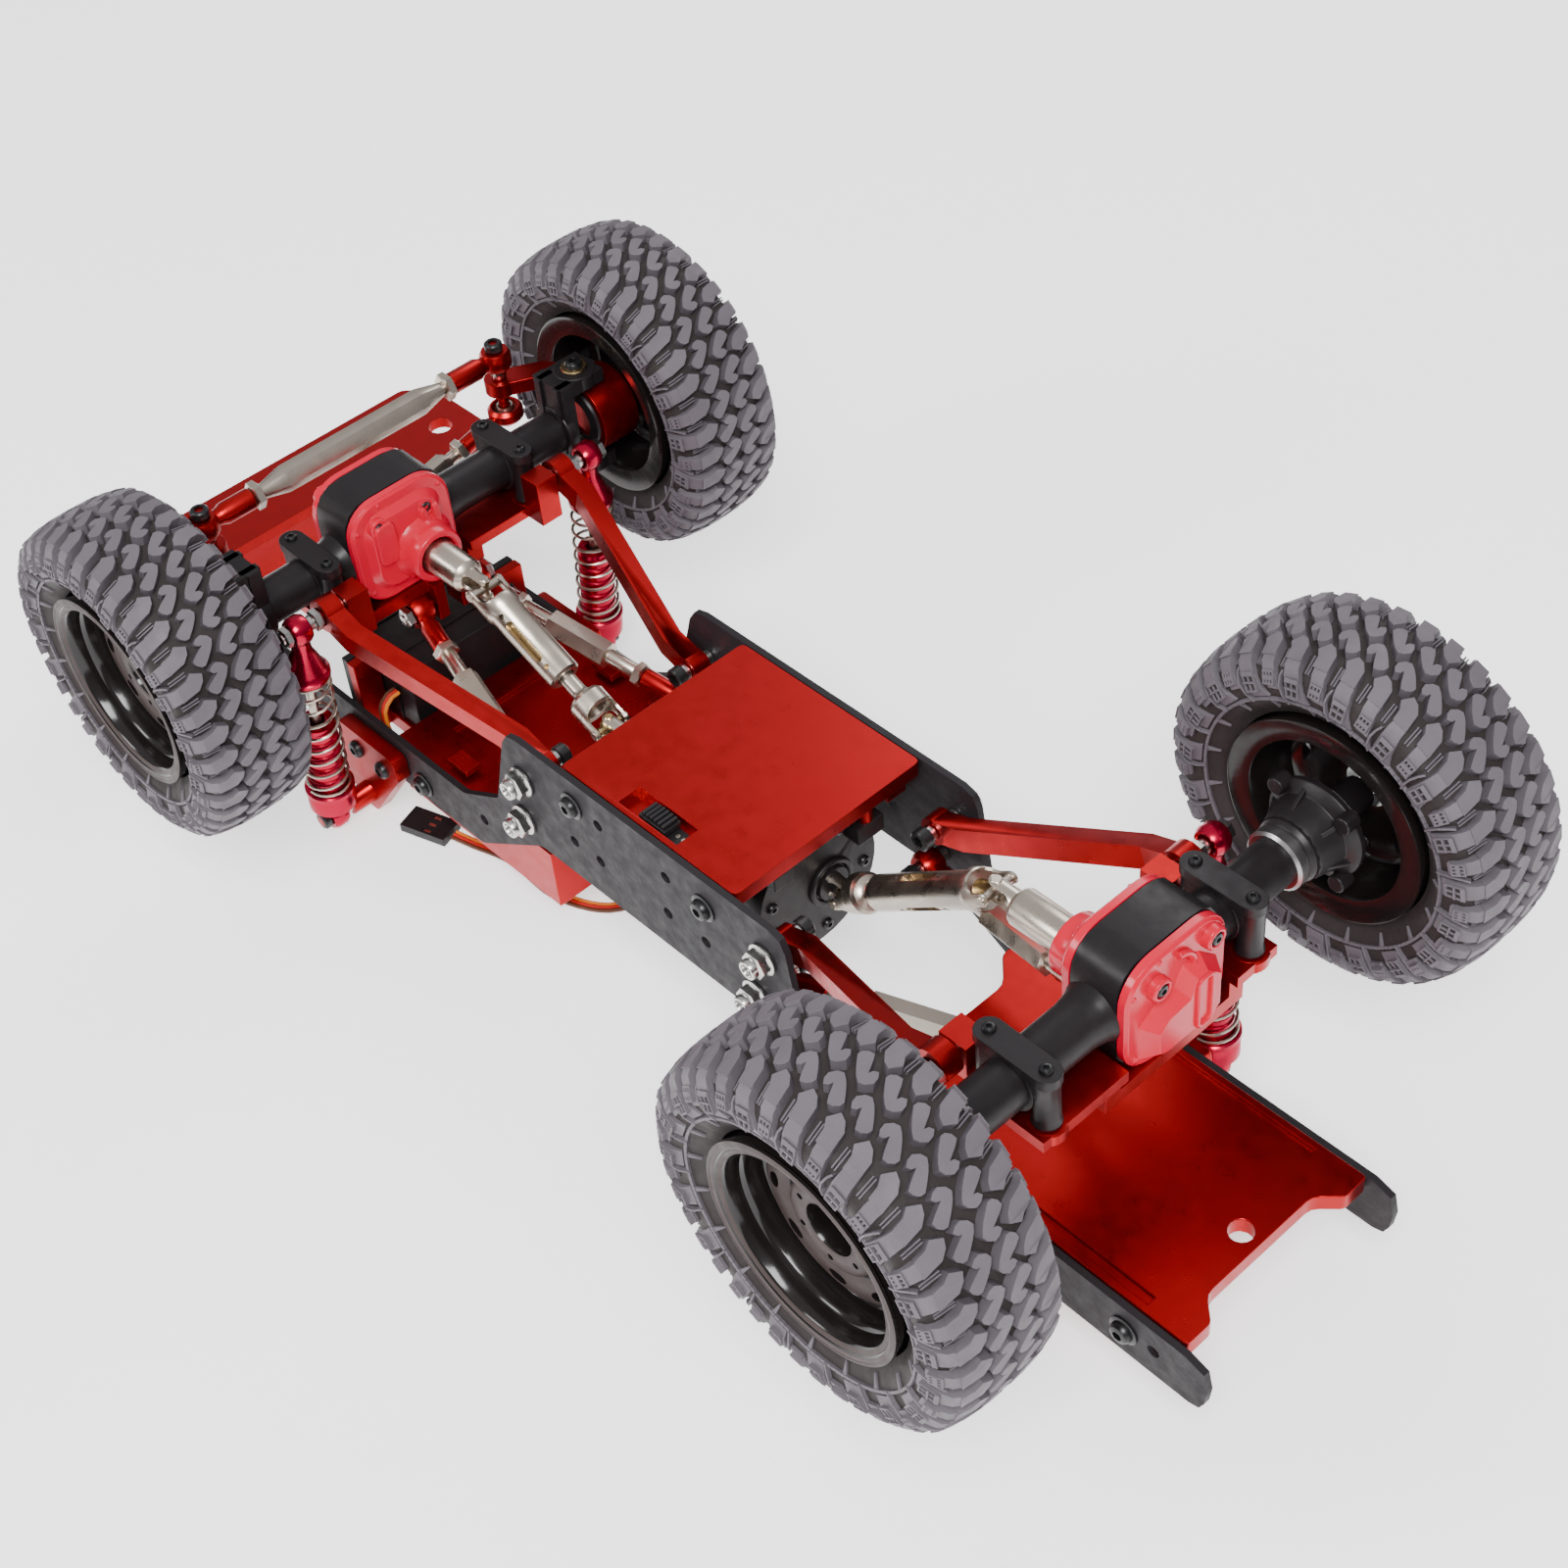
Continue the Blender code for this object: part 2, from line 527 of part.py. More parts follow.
def make_knuckles():
    """Steering knuckles: a cup round the kingpin axis, a stub axle and an arm to the tie rod."""
    x, z = FRONT_AXLE_X, FRONT_AXLE_Z
    for side, sign in SIDES.items():
        cup = along_y(x, sign * (KINGPIN_Y - 0.5 * MM), sign * 67 * MM, z, 10.4 * MM, 24)
        stub = along_y(x, sign * 66 * MM, sign * 74.5 * MM, z, 4 * MM, 12)
        stud_at = (ARM_STUD_X, sign * ARM_STUD_Y)
        arm_points = [(x + 6 * MM, sign * 61 * MM), (x + 15 * MM, sign * KINGPIN_Y), stud_at]
        arm = level_plate(strip(arm_points, 7 * MM), z + 4 * MM, z + 8 * MM)
        pad = cylinder((*stud_at, z + 4 * MM), (*stud_at, z + 8 * MM), 4.2 * MM, 16)
        low = DRAG_LINK_Z - 4 * MM if side == "left" else z + 5 * MM
        stud = cylinder((*stud_at, low), (*stud_at, TIE_ROD_Z + 4.5 * MM), BOLT_RADIUS, 10)
        finish(join(cup, stub, arm, pad, stud), "knuckle_" + side, RED)


# ---------------------------------------------------------------- wheels
def make_wheels():
    tyre_profile = [
        (BEAD_RADIUS, -10.5 * MM), (BEAD_RADIUS, 10.5 * MM),
        (32 * MM, TYRE_HALF_WIDTH), (39.5 * MM, 14.6 * MM), (TYRE_RADIUS, 10 * MM),
        (TYRE_RADIUS, -10 * MM), (39.5 * MM, -14.6 * MM), (32 * MM, -TYRE_HALF_WIDTH),
    ]
    outer = BEAD_RADIUS - GAP
    rim_profile = [
        (outer, 13 * MM), (outer, -13 * MM), (22.5 * MM, -13 * MM), (21.5 * MM, 1 * MM),
        (7.5 * MM, 4 * MM), (4.5 * MM, 3 * MM), (4.5 * MM, 6.5 * MM), (12 * MM, 7 * MM),
        (20 * MM, 4.5 * MM), (22.6 * MM, 13 * MM),
    ]
    for end, axle in AXLES.items():
        for side, sign in SIDES.items():
            centre = (axle["x"], sign * WHEEL_Y, axle["z"])
            out = (0, sign, 0)
            tag = "%s_%s" % (end, side)
            finish(turned(tyre_profile, centre, out, 32, closed=True), "tyre_" + tag, RUBBER)
            finish(turned(rim_profile, centre, out, 24, closed=True), "rim_" + tag, GLOSS_BLACK)


# ---------------------------------------------------------------- steering and suspension links
def eye(centre, axis, half_width, radius, segments=14):
    """A rod end round a bolt that runs along the named axis."""
    reach = AXIS[axis] * half_width
    return cylinder(centre - reach, centre + reach, radius, segments)


def bored(body, centre, axis, radius):
    """Cuts a bolt hole through a rod end."""
    reach = AXIS[axis] * 6 * MM
    return cut(body, cylinder(centre - reach, centre + reach, radius, 12))


def make_tie_rod():
    """The turnbuckle between the knuckle arms. Its right eye is loose: the arms turn by equal angles."""
    left, right = [Vector((ARM_STUD_X, sign * ARM_STUD_Y, TIE_ROD_Z)) for sign in (-1, 1)]
    inset = AXIS["Y"] * 3 * MM
    rod = cylinder(left + inset, right - inset, 2.4 * MM, 12)
    hexagon = cylinder(left + inset * 5, right - inset * 5, 3.1 * MM, 6)
    body = join(rod, hexagon, eye(left, "Z", 2.6 * MM, 4.2 * MM), eye(right, "Z", 2.6 * MM, 4.6 * MM))
    bored(body, left, "Z", PIVOT_BORE)
    bored(body, right + AXIS["Y"] * 0.7 * MM, "Z", LOOSE_BORE)
    finish(body, "tie_rod", NICKEL)


def make_drag_link():
    """The short link from the servo horn to the left knuckle, and the ball that it swings on there."""
    stud = Vector((ARM_STUD_X, -ARM_STUD_Y, DRAG_LINK_Z))
    horn_ball = Vector((ARM_STUD_X, SERVO_SHAFT_Y, SERVO_SHAFT_Z + HORN_REACH))
    along = (horn_ball - stud).normalized()
    rod = cylinder(stud + along * 4 * MM, horn_ball - along * 4 * MM, 2 * MM, 12)
    hexagon = cylinder(stud + along * 20 * MM, horn_ball - along * 18 * MM, 3.1 * MM, 6)
    body = join(rod, hexagon, eye(horn_ball, "X", 1.4 * MM, 5.2 * MM), eye(stud, "Z", 2 * MM, 4.8 * MM))
    bored(body, stud, "Z", BALL_RADIUS + 0.5 * MM)
    # The horn's stud wanders inside this eye as the axle travels, mostly to one side.
    wander = Vector((0, 0.55 * MM, -0.55 * MM))
    finish(bored(body, horn_ball + wander, "X", BOLT_RADIUS + 1.8 * MM), "drag_link", NICKEL)
    ball_profile = [
        (PIVOT_BORE, 2.4 * MM), (2.2 * MM, 2.4 * MM), (BALL_RADIUS, 0.8 * MM), (BALL_RADIUS, -0.8 * MM),
        (2.2 * MM, -2.4 * MM), (PIVOT_BORE, -2.4 * MM),
    ]
    finish(turned(ball_profile, stud, AXIS["Z"], 14, closed=True), "drag_link_ball", NICKEL)


def make_lower_links():
    """Flat bars from the rails' lower bolts to the axle bolts, cranked near both ends."""
    for end in ENDS:
        frame_x, frame_z = from_belly(LOWER_BOLT_FRAME[end])
        axle_x, axle_z = from_belly(LOWER_BOLT_AXLE[end])
        slope = Vector((axle_x - frame_x, 0, axle_z - frame_z))
        for side, sign in SIDES.items():
            near = Vector((frame_x, sign * LOWER_FRAME_Y, frame_z))
            far = Vector((axle_x, sign * LOWER_AXLE_Y, axle_z))
            spread = sign * (LOWER_AXLE_Y - LOWER_FRAME_Y)
            path = [(0, 0), (9 * MM, 0), (slope.length - 10 * MM, spread), (slope.length, spread)]
            # The placement's local X runs up the slope and its local Y along the vehicle's Y.
            bar = plate(strip(path, 5 * MM), 6 * MM, axes_at(near, slope, AXIS["Y"]))
            body = join(bar, eye(near, "Y", 2.5 * MM, 3.6 * MM), eye(far, "Y", 2.5 * MM, 4.4 * MM))
            bored(body, near, "Y", PIVOT_BORE)
            bored(body, far, "Y", LOOSE_BORE)
            finish(body, "lower_link_%s_%s" % (end, side), RED)


def make_upper_links():
    """Turnbuckle links from the rails to the middle of each axle truss."""
    for end in ENDS:
        frame_x, frame_z = from_belly(UPPER_BOLT_FRAME[end])
        axle_x, axle_z = from_belly(UPPER_BOLT_AXLE[end])
        for side, sign in SIDES.items():
            near = Vector((frame_x, sign * UPPER_FRAME_Y, frame_z))
            far = Vector((axle_x, sign * UPPER_AXLE_Y, axle_z))
            span = far - near
            along = span.normalized()
            rod = cylinder(near + along * 3 * MM, far - along * 3 * MM, 2.6 * MM, 12)
            hexagon = cylinder(near + span * 0.36, near + span * 0.62, 3.3 * MM, 6)
            body = join(rod, hexagon, eye(near, "Y", 2.6 * MM, 4 * MM), eye(far, "Y", 2.6 * MM, 4.4 * MM))
            bored(body, near, "Y", PIVOT_BORE)
            bored(body, far, "Y", LOOSE_BORE)
            finish(body, "upper_link_%s_%s" % (end, side), NICKEL)


def make_shocks():
    """Each shock: a turned body on the tower's bolt, and a shaft with an eye on the axle's bolt."""
    body_profile = [
        (0, 17 * MM), (1.9 * MM, 17 * MM), (1.9 * MM, 36 * MM), (4.6 * MM, 36 * MM), (5 * MM, 12 * MM),
        (6.2 * MM, 11 * MM), (6.2 * MM, 5 * MM), (4 * MM, 3 * MM), (0, 3 * MM),
    ]
    for end in ENDS:
        frame_x, frame_z = from_belly(SHOCK_FRAME[end])
        axle_x, axle_z = from_belly(LOWER_BOLT_AXLE[end])
        for side, sign in SIDES.items():
            foot = Vector((frame_x, sign * SHOCK_Y, frame_z))
            head = Vector((axle_x, sign * SHOCK_Y, axle_z))
            along = (head - foot).normalized()
            body = join(turned(body_profile, foot, along, 16), eye(foot, "Y", 2.4 * MM, 3.9 * MM))
            finish(bored(body, foot, "Y", PIVOT_BORE), "shock_body_%s_%s" % (end, side), MAGENTA)
            rod = cylinder(foot + along * 25 * MM, head - along * 3 * MM, 1.3 * MM, 10)
            neck = cylinder(head - along * 14 * MM, head - along * 2.5 * MM, 3.4 * MM, 12, 2.4 * MM)
            shaft = join(rod, neck, eye(head, "Y", 2.4 * MM, 3.9 * MM))
            bored(shaft, head, "Y", BOLT_RADIUS + 0.9 * MM)
            finish(shaft, "shock_shaft_%s_%s" % (end, side), MAGENTA)


def make_driveshafts():
    """At each end: a spider in the gearbox's joint, a spinning rod with its yoke, and a sliding sleeve."""
    for end in ENDS:
        start_x, start_z = from_belly(SHAFT_GEARBOX[end])
        stop_x, stop_z = from_belly(SHAFT_AXLE[end])
        start, stop = Vector((start_x, SHAFT_Y[end], start_z)), Vector((stop_x, SHAFT_Y[end], stop_z))
        along = (stop - start).normalized()
        length = (stop - start).length
        spider = cylinder(start - along * 2 * MM, start + along * 2.2 * MM, 2.6 * MM, 12)
        pin_reach = AXIS["Y"] * 4.2 * MM
        pin = cylinder(start - pin_reach, start + pin_reach, 1.2 * MM, 10)
        finish(join(spider, pin), end + "_shaft_spider", NICKEL)
        yoke = cylinder(start + along * 5.2 * MM, start + along * 9 * MM, 4.6 * MM, 16)
        rod = cylinder(start + along * 8 * MM, stop - along * 14 * MM, 2 * MM, 12)
        finish(join(yoke, rod), end + "_shaft_rod", NICKEL)
        shoulder, mouth, floor = length - 1.5 * MM, length - SLEEVE_LENGTH[end], length - 7 * MM
        sleeve_profile = [
            (0, shoulder), (4.2 * MM, shoulder), (4.2 * MM, mouth),
            (2.4 * MM, mouth), (2.4 * MM, floor), (0, floor),
        ]
        finish(turned(sleeve_profile, start, along, 16), end + "_shaft_sleeve", NICKEL)


# ---------------------------------------------------------------- servo lead
def between(p, q, r, s, t):
    """The share t of the way from q to r on the Catmull-Rom curve through all four numbers."""
    bend = (2 * p - 5 * q + 4 * r - s) * t * t + (3 * q - p - 3 * r + s) * t ** 3
    return 0.5 * (2 * q + (r - p) * t + bend)


def smooth_route(anchors, spacing):
    """Points at an even spacing on a smooth curve (Catmull-Rom) through the anchors."""
    padded = [anchors[0], *anchors, anchors[-1]]
    dense = []
    for a, b, c, d in zip(padded, padded[1:], padded[2:], padded[3:]):
        for step in range(24):
            dense.append(tuple(between(*near, step / 24) for near in zip(a, b, c, d)))
    dense.append(tuple(anchors[-1]))
    route, walked = [dense[0]], 0.0
    for before, after in zip(dense, dense[1:]):
        walked += math.dist(before, after)
        if walked >= spacing:
            route.append(after)
            walked = 0.0
    if math.dist(route[-1], dense[-1]) > spacing / 3:
        route.append(dense[-1])
    return route


LEAD_RADIUS = 1.6 * MM
LEAD_ANCHORS = [  # in millimetres, from the servo's side to the plug
    (84, 20.8, 33.5), (84, 23.4, 33.1), (84, 26.2, 29), (83, 25, 17), (80, 21, 7), (71, 12, 2.3),
    (58, 0, 1.9), (40, -9, 1.8), (20, -9, 1.8), (8, 2, 1.8), (10, 15, 1.8), (24, 22, 1.8),
    (42, 22, 1.8), (54, 25.5, 1.8), (60, 27.3, 1.8),
]


def make_servo_lead():
    """The servo's flat three-wire lead, loosely laid on the bench under the tray, and its plug."""
    route = smooth_route([tuple(c * MM for c in anchor) for anchor in LEAD_ANCHORS], 6 * MM)
    curve = bpy.data.curves.new("servo_lead", "CURVE")
    curve.dimensions = "3D"
    curve.bevel_depth = LEAD_RADIUS
    curve.bevel_resolution = 2
    curve.use_fill_caps = True
    spline = curve.splines.new("POLY")
    spline.points.add(len(route) - 1)
    for point, place in zip(spline.points, route):
        point.co = (*place, 1)
    finish(linked("servo_lead", curve), "servo_lead", LEAD)
    plug = box((0.3 * MM, -3.8 * MM, -1.3 * MM), (14.3 * MM, 3.8 * MM, 1.3 * MM))
    plug.matrix_world = axes_at((60.2 * MM, 27.5 * MM, 1.8 * MM), (17, 5.5, 0), (-5.5, 17, 0))
    finish(plug, "servo_plug", BLACK)


make_rails()
make_skid_plate()
make_switch_slider()
make_front_tray()
make_front_beam()
make_rear_tray()
make_shock_towers()
make_gearbox()
make_servo()
make_axle_housings()
make_diff_covers()
make_trusses()
make_knuckles()
make_wheels()
make_tie_rod()
make_drag_link()
make_lower_links()
make_upper_links()
make_shocks()
make_driveshafts()
make_servo_lead()
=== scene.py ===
"""Looks of a crawler robot chassis that lies on its back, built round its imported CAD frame.

+X points to the front axle, +Y to the vehicle's right side, +Z out of its belly; Z = 0 is the bench.
Shapes are drawn in millimetres and become metres when they turn into objects. MM is one millimetre in metres.
"""

import json
from math import cos, dist, pi, radians, sin, sqrt

import bmesh
import bpy
from mathutils import Matrix, Vector

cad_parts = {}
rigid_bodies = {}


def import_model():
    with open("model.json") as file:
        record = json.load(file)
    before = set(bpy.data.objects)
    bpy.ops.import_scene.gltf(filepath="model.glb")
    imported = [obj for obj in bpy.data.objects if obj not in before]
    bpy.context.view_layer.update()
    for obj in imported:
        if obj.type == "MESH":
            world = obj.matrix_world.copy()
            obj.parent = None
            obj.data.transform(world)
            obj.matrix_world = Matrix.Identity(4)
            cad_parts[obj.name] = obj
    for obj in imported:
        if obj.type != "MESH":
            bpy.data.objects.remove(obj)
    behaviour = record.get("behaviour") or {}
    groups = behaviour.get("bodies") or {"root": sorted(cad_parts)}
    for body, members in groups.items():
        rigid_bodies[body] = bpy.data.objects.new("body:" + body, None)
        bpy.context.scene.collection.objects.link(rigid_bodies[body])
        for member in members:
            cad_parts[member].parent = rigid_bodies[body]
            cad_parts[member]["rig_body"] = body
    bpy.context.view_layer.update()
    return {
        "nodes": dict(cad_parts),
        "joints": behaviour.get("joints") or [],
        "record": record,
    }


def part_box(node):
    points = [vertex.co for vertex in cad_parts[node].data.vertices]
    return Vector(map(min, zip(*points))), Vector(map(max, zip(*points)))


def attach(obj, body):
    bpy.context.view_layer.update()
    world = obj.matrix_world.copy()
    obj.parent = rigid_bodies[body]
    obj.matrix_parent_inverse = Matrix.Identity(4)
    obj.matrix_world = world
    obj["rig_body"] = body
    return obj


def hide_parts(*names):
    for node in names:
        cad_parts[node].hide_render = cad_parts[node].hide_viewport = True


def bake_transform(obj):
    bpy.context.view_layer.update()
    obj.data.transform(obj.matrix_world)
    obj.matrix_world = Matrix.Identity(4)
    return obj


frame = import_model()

MM = 0.001
X, Y, Z = Vector((1, 0, 0)), Vector((0, 1, 0)), Vector((0, 0, 1))
SIDES = {"right": 1, "left": -1}
ENDS = {"front": 1, "rear": -1}
NODES = frame["nodes"]

JOINTS = {joint["name"]: joint for joint in frame["joints"]}


def box(node):
    """The low and high corners of a node's box, in millimetres."""
    low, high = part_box(node)
    return low / MM, high / MM


def middle(node):
    low, high = box(node)
    return (low + high) / 2


def joint_place(name):
    """Where a joint of the frame sits, in millimetres."""
    return Vector(JOINTS[name]["pos_m"]) / MM


# The frame's own sizes, read from its nodes
BELLY_Z = box("skid_plate")[1].z
RAIL_INNER_Y, RAIL_FACE_Y = (corner.y for corner in box("rail_right"))


# ---------------------------------------------------------------- camera
CAMERA_PLACE = Vector((-0.3663, 0.2544, 0.4704))
CAMERA_FORWARD = Vector((0.5606, -0.4446, -0.6986)).normalized()
CAMERA_UP = Vector((0.4739, -0.5196, 0.7109))


def make_camera():
    data = bpy.data.cameras.new("camera")
    data.lens = 58.75
    data.sensor_width = 36
    camera = bpy.data.objects.new("camera", data)
    right = CAMERA_FORWARD.cross(CAMERA_UP).normalized()
    up = right.cross(CAMERA_FORWARD)
    turn = Matrix((right, up, -CAMERA_FORWARD)).transposed().to_4x4()
    camera.matrix_world = Matrix.Translation(CAMERA_PLACE) @ turn
    bpy.context.scene.collection.objects.link(camera)
    bpy.context.scene.camera = camera


make_camera()


# ---------------------------------------------------------------- materials
def mapped_noise(nodes, links, coordinates, scale, low, high, detail=4.0):
    """A noise value spread between low and high."""
    noise = nodes.new("ShaderNodeTexNoise")
    noise.inputs["Scale"].default_value = scale
    noise.inputs["Detail"].default_value = detail
    links.new(coordinates, noise.inputs["Vector"])
    spread = nodes.new("ShaderNodeMapRange")
    spread.inputs["From Min"].default_value = 0.3
    spread.inputs["From Max"].default_value = 0.7
    spread.inputs["To Min"].default_value = low
    spread.inputs["To Max"].default_value = high
    links.new(noise.outputs["Fac"], spread.inputs["Value"])
    return spread.outputs["Result"]


def material(name, colour, metallic, roughness, grain=0.3, bump=0.1, shade=0.15, wear=None, specular=0.5):
    """A procedural finish: patchy colour and roughness, a grain in millimetres, and worn edges."""
    made = bpy.data.materials.new(name)
    made.use_nodes = True
    nodes, links = made.node_tree.nodes, made.node_tree.links
    shader = nodes["Principled BSDF"]
    shader.inputs["Metallic"].default_value = metallic
    shader.inputs["Specular IOR Level"].default_value = specular
    place = nodes.new("ShaderNodeTexCoord").outputs["Object"]
    patch = mapped_noise(nodes, links, place, 90, 0.0, 1.0)
    dark = tuple(c * (1 - shade) for c in colour)
    light = tuple(min(1.0, c * (1 + shade)) for c in colour)
    tint = nodes.new("ShaderNodeMix")
    tint.data_type = "RGBA"
    tint.inputs[6].default_value = (*dark, 1)
    tint.inputs[7].default_value = (*light, 1)
    links.new(patch, tint.inputs["Factor"])
    tone = tint.outputs[2]
    if wear is not None:
        edge = nodes.new("ShaderNodeMapRange")
        edge.inputs["From Min"].default_value = 0.56
        edge.inputs["From Max"].default_value = 0.75
        edge.inputs["To Max"].default_value = 0.5
        links.new(nodes.new("ShaderNodeNewGeometry").outputs["Pointiness"], edge.inputs["Value"])
        worn = nodes.new("ShaderNodeMix")
        worn.data_type = "RGBA"
        worn.inputs[7].default_value = (*wear, 1)
        links.new(edge.outputs["Result"], worn.inputs["Factor"])
        links.new(tone, worn.inputs[6])
        tone = worn.outputs[2]
    links.new(tone, shader.inputs["Base Color"])
    rough = mapped_noise(nodes, links, place, 260, roughness * 0.82, min(1.0, roughness * 1.22))
    links.new(rough, shader.inputs["Roughness"])
    fine = mapped_noise(nodes, links, place, 0.35 / (grain * MM), 0.0, 1.0, detail=2.0)
    relief = nodes.new("ShaderNodeBump")
    relief.inputs["Strength"].default_value = bump
    relief.inputs["Distance"].default_value = grain * MM * 0.25
    links.new(fine, relief.inputs["Height"])
    links.new(relief.outputs["Normal"], shader.inputs["Normal"])
    return made


RED = material("red_anodised", (0.38, 0.009, 0.011), 0.94, 0.32, grain=0.6, bump=0.0, shade=0.02)
PINK = material("cover_pink", (0.56, 0.002, 0.026), 0.0, 0.2, grain=0.9, bump=0.03, shade=0.03, specular=0.35)
MAGENTA = material("shock_magenta", (0.42, 0.006, 0.035), 0.9, 0.24, bump=0.04, shade=0.05)
POWDER = material("rail_powder_coat", (0.014, 0.012, 0.014), 0.0, 0.55, grain=0.3, bump=0.3, shade=0.03,
                  specular=0.2)
SATIN = material("axle_black", (0.010, 0.008, 0.009), 0.0, 0.38, grain=0.5, bump=0.08, shade=0.1,
                 specular=0.24)
PLASTIC = material("black_plastic", (0.010, 0.009, 0.010), 0.0, 0.42, grain=0.4, bump=0.25, shade=0.12,
                   specular=0.3)
GLOSS = material("rim_black", (0.008, 0.006, 0.006), 0.0, 0.14, grain=1.2, bump=0.02, shade=0.1,
                 specular=0.35)
LIP = material("rim_satin", (0.042, 0.030, 0.028), 0.0, 0.45, grain=0.6, bump=0.08, shade=0.08, specular=0.2)
NICKEL = material("nickel", (0.50, 0.44, 0.37), 1.0, 0.3, grain=0.3, bump=0.01, shade=0.03)
ZINC = material("zinc_nut", (0.52, 0.51, 0.49), 1.0, 0.24, grain=0.3, bump=0.02, shade=0.04)
STEEL = material("plain_steel", (0.3, 0.29, 0.29), 1.0, 0.32, grain=0.3, bump=0.05, shade=0.06)
SCREW = material("black_screw", (0.010, 0.010, 0.011), 0.4, 0.32, bump=0.05, shade=0.1,
                 wear=(0.12, 0.11, 0.11))
BRASS = material("brass", (0.5, 0.36, 0.18), 1.0, 0.28, bump=0.03, shade=0.08)
# Painted light: the tyre's carcass takes a darker copy of the rubber as painted shade between the blocks, and
# the raised relief takes a lighter copy as painted light; the real rubber is one colour.
SHADED_RUBBER = material("tyre_rubber", (0.026, 0.020, 0.020), 0.0, 0.62, grain=0.35, bump=0.3, shade=0.12,
                  specular=0.25)
LIT_TREAD = material("tyre_tread_painted_lit", (0.095, 0.082, 0.096), 0.0, 0.6, grain=0.35, bump=0.3, shade=0.1,
                 specular=0.45)
WIRES = [
    material("wire_orange", (0.8, 0.22, 0.02), 0.0, 0.4, bump=0.1),
    material("wire_red", (0.6, 0.015, 0.012), 0.0, 0.4, bump=0.1),
    material("wire_brown", (0.11, 0.035, 0.015), 0.0, 0.4, bump=0.1),
]


# ---------------------------------------------------------------- shape building
SHARP_ANGLE = radians(35)  # sharper edges are shaded sharp, and bevelled where a piece asks for it


def side_of(direction):
    """A unit vector square to the given one."""
    return (direction.cross(Z) if abs(direction.z) < 0.9 else direction.cross(X)).normalized()


def linked(name, data):
    """A new object in the scene."""
    made = bpy.data.objects.new(name, data)
    bpy.context.scene.collection.objects.link(made)
    return made


def evaluated_mesh(source):
    """A copy of an object's mesh with its modifiers applied."""
    bpy.context.view_layer.update()
    return bpy.data.meshes.new_from_object(source.evaluated_get(bpy.context.evaluated_depsgraph_get()))


def direction_at(points, index):
    """The direction of a line of points at one of them."""
    return (points[min(index + 1, len(points) - 1)] - points[max(index - 1, 0)]).normalized()


def placed(origin, x_axis, z_axis):
    """A placement whose local Z is z_axis and whose local X lies towards x_axis."""
    z_dir = Vector(z_axis).normalized()
    x_dir = Vector(x_axis)
    x_dir = (x_dir - z_dir * x_dir.dot(z_dir)).normalized()
    y_dir = z_dir.cross(x_dir)
    return Matrix.Translation(origin) @ Matrix((x_dir, y_dir, z_dir)).transposed().to_4x4()


def polygon_radius(sides, angle):
    """How far a regular polygon's edge is, as a share of its inscribed circle's radius."""
    step = 2 * pi / sides
    return 1 / cos((angle % step) - step / 2)


